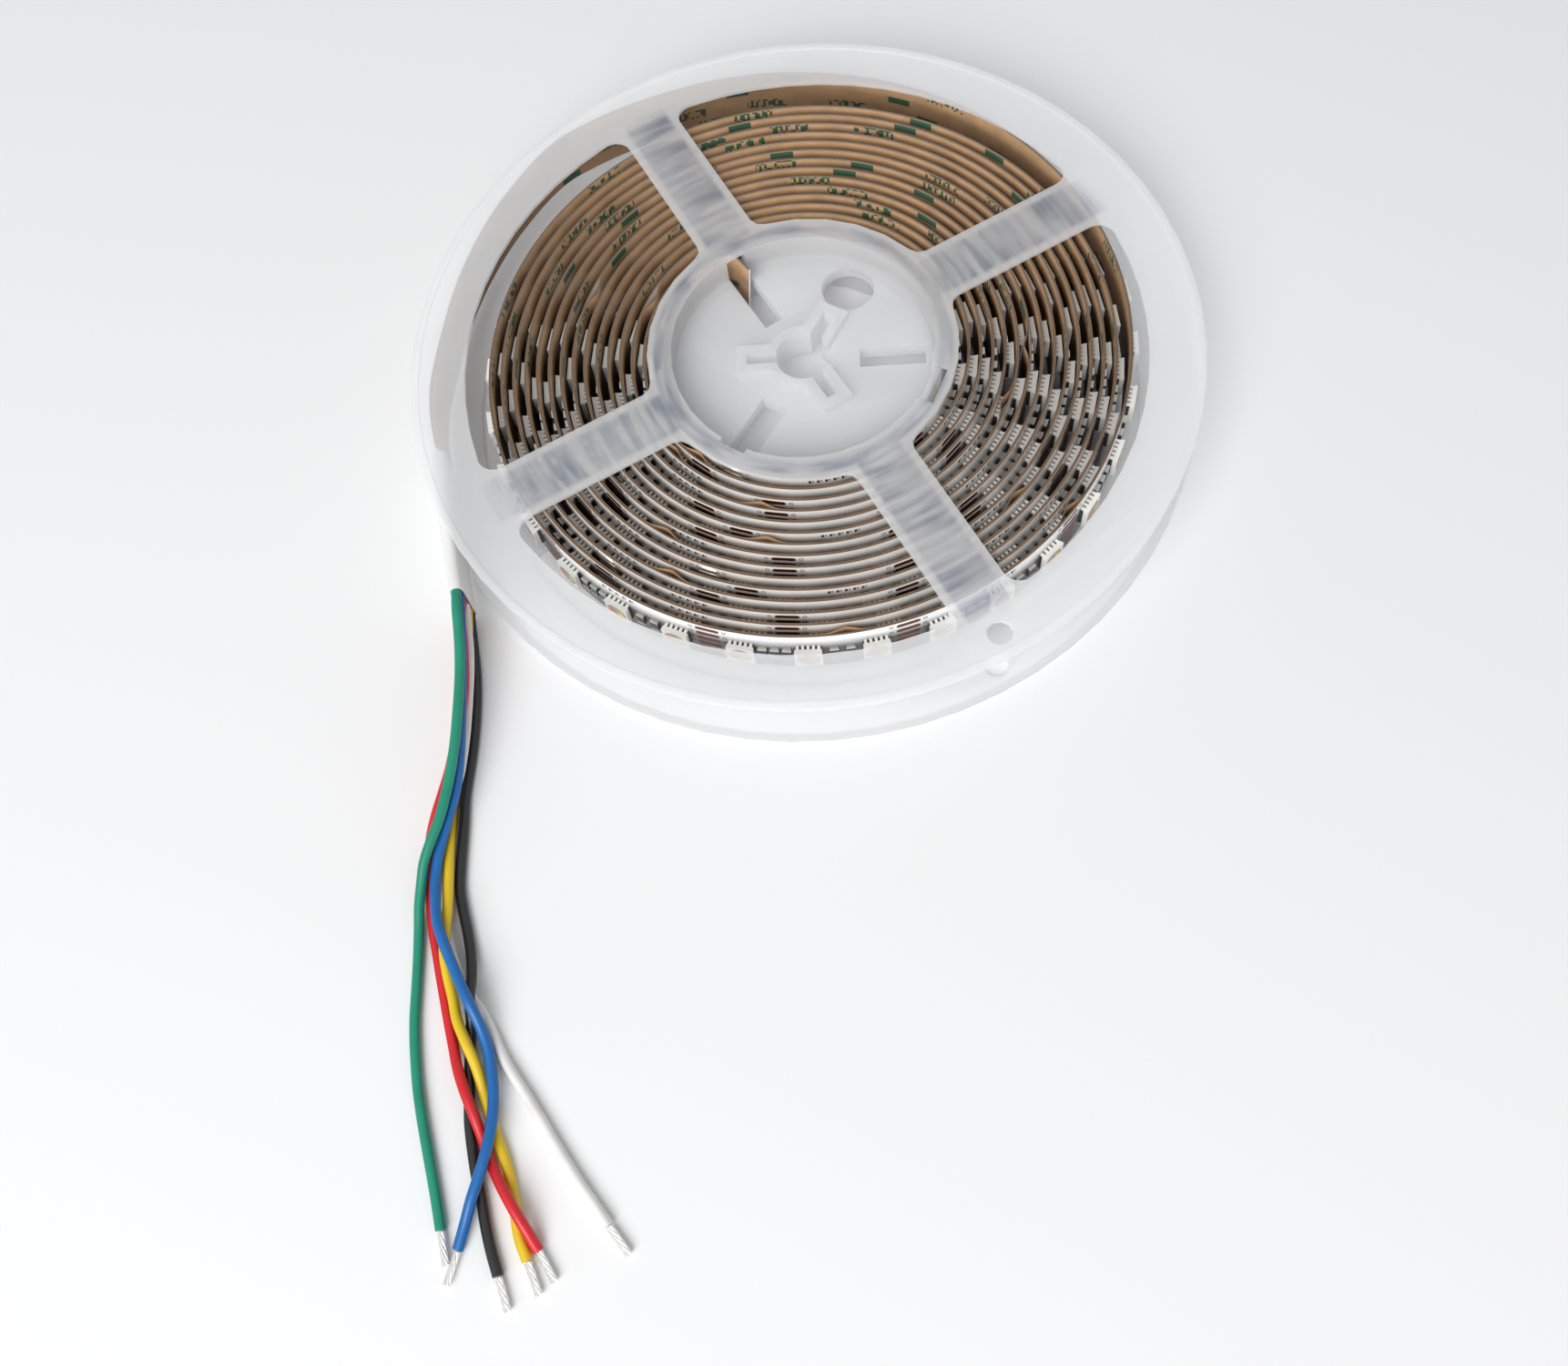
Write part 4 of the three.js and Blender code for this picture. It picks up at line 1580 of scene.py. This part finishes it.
@dataclass
class Lead:
    """The flat sleeve and the six loose wires with their tinned ends.

    Attributes:
        diameter: A wire's diameter over its insulation.
        route_steps: The steps of a wire's line from one point of its route to the next.
        tip_diameter: The diameter of the twisted strands at its end.
        tip_length: How far they stand out.
        tip_gap: The room between the insulation and where they are drawn from.
        tip_turns: The turns of their twist.
        strands: How many there are round the one in the middle.
        strand_swell: How much a strand is thickened, so that the strands touch.
        strand_lay: The radius that they lie on, as a share of one strand's radius.
        sleeve_line: The sleeve's middle line in plan, in millimetres.
        sleeve_middle: The height of its middle line.
        sleeve_section: Half its thickness and half its height.
        sleeve_wall: The thickness of its wall at the mouth.
        sleeve_mouth: How many steps of its line the mouth is deep.
        routes: Each wire's route in millimetres, from the sleeve to its end.
    """

    diameter: float = 1.9 * MM
    route_steps: int = 4
    tip_diameter: float = 1.3 * MM
    tip_length: float = 5.2 * MM
    tip_gap: float = 0.3 * MM
    tip_turns: float = 0.55
    strands: int = 6
    strand_swell: float = 1.08
    strand_lay: float = 1.9
    sleeve_line: tuple[tuple[float, float], ...] = (
        (-71.1, -8.2),
        (-71.0, -17.0),
        (-70.6, -28.0),
        (-70.0, -37.9),
    )
    sleeve_middle: float = 7.5
    sleeve_section: tuple[float, float] = (1.3 * MM, 6 * MM)
    sleeve_wall: float = 0.25 * MM
    sleeve_mouth: int = 5
    routes: dict[Wire, tuple[tuple[float, float, float], ...]] = field(default_factory=dict)

    def build(self) -> None:
        """Builds and places the wires, their tips and the sleeve."""
        for wire in Wire:
            self.wire(wire)
        self.sleeve()

    def wire(self, wire: Wire) -> None:
        """Builds one wire and its tinned end.

        Args:
            wire: Which wire.
        """
        route = [Vector(point) * MM for point in self.routes[wire]]
        line = through(route, self.route_steps)
        finish = insulation(wire)
        cord = line_object(f"{wire.value}_wire", line)
        cord.data.twist_mode = "MINIMUM"
        cord.data.bevel_depth = self.diameter / 2
        cord.data.bevel_resolution = 3
        cord.data.use_fill_caps = True
        cord.data.materials.append(finish.material())
        set_piece(cord, finish, f"wire_{wire.value}")
        tip = self.tip(wire, route)
        length = travelled(line)[-1]

    def tip(self, wire: Wire, route: Sequence[Vector]) -> bpy.types.Object:
        """Builds the twisted, tinned strands at a wire's end.

        Args:
            wire: Which wire.
            route: The wire's route.

        Returns:
            The piece.
        """
        way = route[-1] - route[-2]
        way.z = 0.0
        way.normalize()
        name = f"{wire.value}_wire_strands"
        maker = Modeller(f"{name} twist")
        length = maker.size("Length")
        radius = maker.size("Strand radius")
        lay = maker.size("Lay radius")
        count = maker.size("Strands", "NodeSocketInt")
        net = maker.net
        twist = {
            "Resolution": 14,
            "Rotations": self.tip_turns,
            "Start Radius": lay,
            "End Radius": lay,
            "Height": length,
        }
        spiral = net.node("GeometryNodeCurveSpiral", feeds=twist).outputs[0]
        ends = {"End": net.node("ShaderNodeCombineXYZ", feeds={"Z": length}).outputs[0]}
        core = net.node("GeometryNodeCurvePrimitiveLine", {"mode": "POINTS"}, ends).outputs[0]
        in_place = {"Count": count, "Offset": (0.0, 0.0, 0.0)}
        ring = net.node("GeometryNodeMeshLine", {"mode": "OFFSET"}, in_place)
        index = Socket(net, net.node("GeometryNodeInputIndex").outputs[0])
        turn = index * (2 * math.pi / self.strands)
        spin = net.node("ShaderNodeCombineXYZ", feeds={"Z": turn}).outputs[0]
        around_core = {"Points": ring.outputs[0], "Instance": spiral, "Rotation": spin}
        around = net.node("GeometryNodeInstanceOnPoints", feeds=around_core).outputs[0]
        real = net.node("GeometryNodeRealizeInstances", feeds={"Geometry": around}).outputs[0]
        join = net.node("GeometryNodeJoinGeometry")
        for part in (real, core):
            net.tree.links.new(part, join.inputs[0])
        circle = {"Resolution": 8, "Radius": radius}
        section = net.node("GeometryNodeCurvePrimitiveCircle", feeds=circle).outputs[0]
        sweep = {"Curve": join.outputs[0], "Profile Curve": section, "Fill Caps": True}
        maker.finish(net.node("GeometryNodeCurveToMesh", feeds=sweep).outputs[0], TINNED.material())
        strand = self.tip_diameter / 6
        carrier = line_object(name, [Vector((0, 0, 0)), Vector((0, 0, 1 * MM))])
        values = {
            "Length": self.tip_length,
            "Strand radius": strand * self.strand_swell,
            "Lay radius": strand * self.strand_lay,
            "Strands": self.strands,
        }
        piece = maker.run(name, carrier, values)
        turned = way.to_track_quat("Z", "Y").to_matrix().to_4x4()
        start = route[-1] + way * self.tip_gap
        piece.data.transform(Matrix.Translation(start) @ turned)
        return set_piece(smooth(piece, 60), TINNED, f"wire_tip_{wire.value}")

    def sleeve(self) -> None:
        """Builds the flat shrink sleeve, open where the wires come out."""
        line = through([Vector((x, y, self.sleeve_middle)) * MM for x, y in self.sleeve_line], 8)
        deep, tall = self.sleeve_section
        bend_steps = 8

        def section(centre: Vector, way: Vector, inset: float) -> list[Vector]:
            """The sleeve's section about a point: a tall bar with round ends.

            Args:
                centre: The point.
                way: The way that the sleeve runs there.
                inset: How far the section is drawn in from the outside.

            Returns:
                The section's points.
            """
            side = Vector((way.y, -way.x, 0.0)).normalized()
            reach, rise = deep - inset, tall - inset
            points = []
            for up, start in ((1, 0), (-1, 180)):
                for step in range(bend_steps + 1):
                    angle = math.radians(start + 180 * step / bend_steps)
                    across = side * reach * math.cos(angle)
                    height = up * (rise - reach) + reach * math.sin(angle)
                    points.append(centre + across + Vector((0.0, 0.0, height)))
            return points

        def build(form: bmesh.types.BMesh) -> None:
            """Joins the outer sections, the lip and the inside of the mouth."""
            last = len(line) - 1
            rings = []
            for index, point in enumerate(line):
                way = line[min(index + 1, last)] - line[max(index - 1, 0)]
                rings.append(section(point, way, 0.0))
            for index in range(last, last - self.sleeve_mouth, -1):
                way = line[min(index + 1, last)] - line[max(index - 1, 0)]
                rings.append(section(line[index], way, self.sleeve_wall))
            loops = [[form.verts.new(point) for point in ring] for ring in rings]
            for first, second in zip(loops, loops[1:]):
                for index in range(len(first)):
                    after = (index + 1) % len(first)
                    form.faces.new([first[index], first[after], second[after], second[index]])
            form.faces.new(loops[0])
            form.faces.new(list(reversed(loops[-1])))
            bmesh.ops.recalc_face_normals(form, faces=form.faces)

        piece = mesh_object("shrink_sleeve", build)
        piece.data.materials.append(SLEEVE.material())
        set_piece(smooth(piece, 50), SLEEVE, "lead_sleeve")


ROUTES: dict[Wire, tuple[tuple[float, float, float], ...]] = {
    Wire.GREEN: (
        (-70, -37.8, 12.45), (-70.17, -41.65, 12.63), (-70.38, -45.25, 11.75),
        (-70.71, -49.02, 10.82), (-71.18, -52.82, 10.06), (-71.73, -56.47, 9.68),
        (-72.37, -60.31, 9.44), (-73.13, -64.09, 8.9), (-74.01, -67.65, 8.32),
        (-75.13, -71.32, 7.6), (-76.42, -74.96, 7.1), (-77.78, -78.38, 6.64),
        (-79.66, -81.71, 5.88), (-81.42, -85.01, 4.82), (-82.49, -88.34, 3.58),
        (-83.42, -91.97, 2.5), (-83.97, -95.52, 1.57), (-84.48, -99.35, 1.07), (-84.95, -103.22, 1),
        (-85.43, -106.91, 1), (-85.93, -110.77, 1), (-86.19, -114.66, 1), (-86.26, -118.38, 1),
        (-86.22, -122.28, 1), (-85.97, -126.17, 1), (-85.62, -129.86, 1), (-85.2, -133.74, 1),
        (-84.77, -137.62, 1), (-84.41, -141.31, 1), (-84.1, -145.2, 1),
    ),
    Wire.BLUE: (
        (-70, -37.8, 10.47), (-70.14, -41.83, 10.29), (-70.54, -45.57, 9.34), (-70.97, -49.51, 8.4),
        (-71.48, -53.49, 7.69), (-71.97, -57.33, 7.38), (-72.47, -61.36, 7.07),
        (-73.05, -65.36, 6.52), (-73.78, -69.12, 5.88), (-74.81, -73.01, 5.23),
        (-76.23, -76.8, 4.84), (-77.75, -80.3, 4.14), (-79.09, -84.15, 3.95),
        (-79.98, -88.11, 3.71), (-80.12, -91.95, 4.2), (-79.9, -95.91, 5.14),
        (-79.12, -99.67, 5.38), (-78.05, -103.57, 4.9), (-76.8, -107.45, 5.07),
        (-75.57, -111.05, 5.05), (-74.47, -114.69, 3.6), (-73.67, -118.58, 2.72),
        (-73.45, -122.45, 2.48), (-73.51, -126.51, 2.73), (-74.03, -130.53, 3.2),
        (-75.05, -134.24, 3.68), (-76.59, -137.99, 3.44), (-78.36, -141.62, 2.97),
        (-79.95, -144.96, 1.78), (-81.6, -148.6, 1),
    ),
    Wire.RED: (
        (-70, -37.8, 8.49), (-70.61, -41.68, 8.1), (-70.8, -45.51, 7.11), (-71.18, -49.55, 6.16),
        (-71.68, -53.62, 5.45), (-72.41, -57.5, 5.19), (-73.5, -61.52, 5.07),
        (-74.67, -65.51, 4.91), (-75.84, -69.3, 4.8), (-77.19, -73.22, 5.13), (-78.73, -77.06, 5),
        (-80.17, -80.58, 3.9), (-81.07, -84.39, 2.53), (-81.7, -88.35, 1.43), (-81.77, -92.28, 1),
        (-81.65, -96.44, 1), (-81.31, -100.39, 1), (-80.97, -104.54, 1), (-80.59, -108.69, 1),
        (-80.2, -112.63, 1.08), (-79.64, -116.72, 1.61), (-78.98, -120.7, 2.63),
        (-78.03, -124.5, 3.24), (-76.91, -128.49, 2.92), (-76.02, -132.4, 1.83),
        (-75.07, -136.21, 1.63), (-73.64, -139.97, 2.7), (-71.99, -143.75, 3.2),
        (-70.38, -147.32, 2.68), (-68.92, -150.83, 1),
    ),
    Wire.WHITE: (
        (-70, -37.8, 6.51), (-70.13, -41.83, 5.83), (-70.33, -45.66, 4.88), (-70.82, -49.66, 3.92),
        (-71.49, -53.69, 3.19), (-72.1, -57.58, 2.95), (-72.76, -61.67, 2.95),
        (-73.58, -65.74, 2.95), (-74.56, -69.56, 2.96), (-76.06, -73.42, 3.16),
        (-78.01, -77.07, 2.94), (-79.52, -80.45, 1.64), (-79.49, -84.51, 1), (-79.56, -88.65, 1),
        (-79.58, -92.6, 1), (-79.38, -96.74, 1), (-78.68, -100.63, 1), (-77.73, -104.67, 1),
        (-76.36, -108.58, 1), (-74.49, -112.03, 1), (-73, -115.9, 1), (-71.71, -119.84, 1),
        (-70.1, -123.45, 1), (-68.25, -127.16, 1), (-66.49, -130.92, 1), (-64.86, -134.51, 1),
        (-63.1, -138.27, 1), (-61.26, -141.99, 1), (-59.41, -145.47, 1), (-57.4, -149.1, 1),
    ),
    Wire.YELLOW: (
        (-70, -37.8, 4.53), (-70.49, -41.71, 3.6), (-71.4, -45.44, 2.89), (-72.14, -49.4, 2.08),
        (-72.65, -53.39, 1.27), (-73.14, -57.25, 1), (-73.79, -61.3, 1), (-74.59, -65.33, 1),
        (-75.53, -69.12, 1), (-76.41, -73.13, 1), (-76.95, -77.2, 1), (-77.34, -80.95, 1.77),
        (-77.7, -85, 2.35), (-78.05, -89.07, 2.65), (-78.42, -92.95, 2.91), (-79.02, -97, 3.22),
        (-79.63, -100.85, 3.03), (-79.44, -104.92, 2.61), (-78.87, -108.98, 2.5),
        (-78.37, -112.83, 2.9), (-77.16, -116.73, 3.25), (-75.98, -120.6, 2.71),
        (-75.41, -124.31, 1.61), (-74.79, -128.32, 1.02), (-73.91, -132.33, 1),
        (-72.93, -136.11, 1), (-72.22, -140.15, 1), (-71.96, -144.24, 1), (-71.75, -148.15, 1),
        (-70.77, -152.12, 1),
    ),
    Wire.BLACK: (
        (-70, -37.8, 2.55), (-70.21, -41.72, 1.35), (-70.21, -45.62, 1), (-70.24, -49.74, 1),
        (-70.51, -53.86, 1), (-70.99, -57.76, 1), (-71.63, -61.83, 1), (-72.44, -65.87, 1),
        (-73.38, -69.68, 1), (-74.28, -73.71, 1), (-74.82, -77.79, 1), (-75.4, -81.67, 1),
        (-76.04, -85.75, 1), (-76.51, -89.84, 1), (-76.27, -93.76, 1), (-75.79, -97.85, 1.04),
        (-75.48, -101.74, 1.46), (-75.46, -105.76, 2.37), (-75.96, -109.72, 3.17),
        (-76.31, -113.35, 1.8), (-77.03, -117.3, 1), (-77.52, -121.39, 1), (-77.84, -125.31, 1),
        (-78.13, -129.42, 1), (-78.02, -133.54, 1), (-77.75, -137.46, 1), (-77.26, -141.55, 1),
        (-76.9, -145.66, 1), (-76.39, -149.55, 1), (-75.6, -153.6, 1),
    ),
}


# Stage


@dataclass
class Stage:
    """The camera, the pale floor and the soft light.

    Attributes:
        place: The camera's place.
        tilt: The camera's tilt from straight down, in degrees.
        roll: Its roll about its own view axis, in degrees.
        focal: The focal length as a share of the picture's width.
        sensor: The width of the camera's sensor in millimetres.
        floor_colour: The floor's linear colour.
        floor_half: Half the floor's width.
        room_strength: The light that the room gives.
        seen_strength: The room's brightness where it is seen, mirrored or seen through something.
        key_place: The place of the square light at the front left.
        key_size: The length of its side.
        key_power: Its power in watts.
    """

    place: tuple[float, float, float] = (-0.0148, -0.1752, 0.2570)
    tilt: float = 23.806
    roll: float = -10.298
    focal: float = 1700 / 1722
    sensor: float = 36.0
    floor_colour: tuple[float, float, float] = (0.87, 0.87, 0.875)
    floor_half: float = 3.0
    room_strength: float = 0.43
    seen_strength: float = 0.88
    key_place: tuple[float, float, float] = (-0.52, -0.84, 0.88)
    key_size: float = 0.9
    key_power: float = 16.0

    def camera(self) -> None:
        """Makes the camera at the viewing angle of the picture."""
        data = bpy.data.cameras.new("camera")
        data.sensor_fit = "HORIZONTAL"
        data.sensor_width = self.sensor
        data.lens = self.focal * self.sensor
        data.clip_start = 0.01
        data.clip_end = 20.0
        camera = bpy.data.objects.new("camera", data)
        bpy.context.scene.collection.objects.link(camera)
        tilt = Matrix.Rotation(math.radians(self.tilt), 4, "X")
        roll = Matrix.Rotation(math.radians(self.roll), 4, "Z")
        camera.matrix_world = Matrix.Translation(self.place) @ tilt @ roll
        bpy.context.scene.camera = camera

    def floor(self) -> None:
        """Makes the pale floor that the reel lies on."""

        def build(form: bmesh.types.BMesh) -> None:
            """Adds one large square that the reel rests on."""
            bmesh.ops.create_grid(form, x_segments=1, y_segments=1, size=self.floor_half)

        piece = mesh_object("floor", build)
        material = bpy.data.materials.new("pale floor")
        material.use_nodes = True
        net = Net(material.node_tree)
        feeds = {"Base Color": (*self.floor_colour, 1.0), "Roughness": 0.9}
        shader = net.node("ShaderNodeBsdfPrincipled", feeds=feeds)
        net.node("ShaderNodeOutputMaterial", feeds={"Surface": shader.outputs[0]})
        piece.data.materials.append(material)

    def light(self) -> None:
        """Lights the reel softly, a little more from the front left."""
        world = bpy.data.worlds.new("soft room")
        world.use_nodes = True
        net = Net(world.node_tree)
        path = net.node("ShaderNodeLightPath")
        kinds = ("Camera", "Glossy", "Transmission")
        camera, glossy, straight = (Socket(net, path.outputs[f"Is {kind} Ray"]) for kind in kinds)
        seen = camera.math("MAXIMUM", glossy).math("MAXIMUM", straight)
        strength = seen * (self.seen_strength - self.room_strength) + self.room_strength
        feeds = {"Color": (0.98, 0.99, 1.0, 1.0), "Strength": strength}
        background = net.node("ShaderNodeBackground", feeds=feeds)
        net.node("ShaderNodeOutputWorld", feeds={"Surface": background.outputs[0]})
        bpy.context.scene.world = world
        self.key_panel()

    def key_panel(self) -> None:
        """Makes the one square light, which faces the reel."""
        data = bpy.data.lights.new("key panel", "AREA")
        data.size = self.key_size
        data.energy = self.key_power
        lamp = bpy.data.objects.new("key panel", data)
        bpy.context.scene.collection.objects.link(lamp)
        lamp.location = self.key_place
        lamp.rotation_euler = (-Vector(self.key_place)).to_track_quat("-Z", "Y").to_euler()


def main() -> None:
    """Builds the camera, the lead, the winding, the spool and the stage in order."""
    logging.basicConfig(level=logging.INFO, format="%(name)s: %(message)s")
    scene = bpy.context.scene
    scene.view_settings.view_transform = "Standard"
    stage = Stage()
    stage.camera()
    Lead(routes=ROUTES).build()
    Winding(TapeLine()).build()
    Spool().build()
    stage.floor()
    stage.light()


if __name__ == "__main__":
    main()
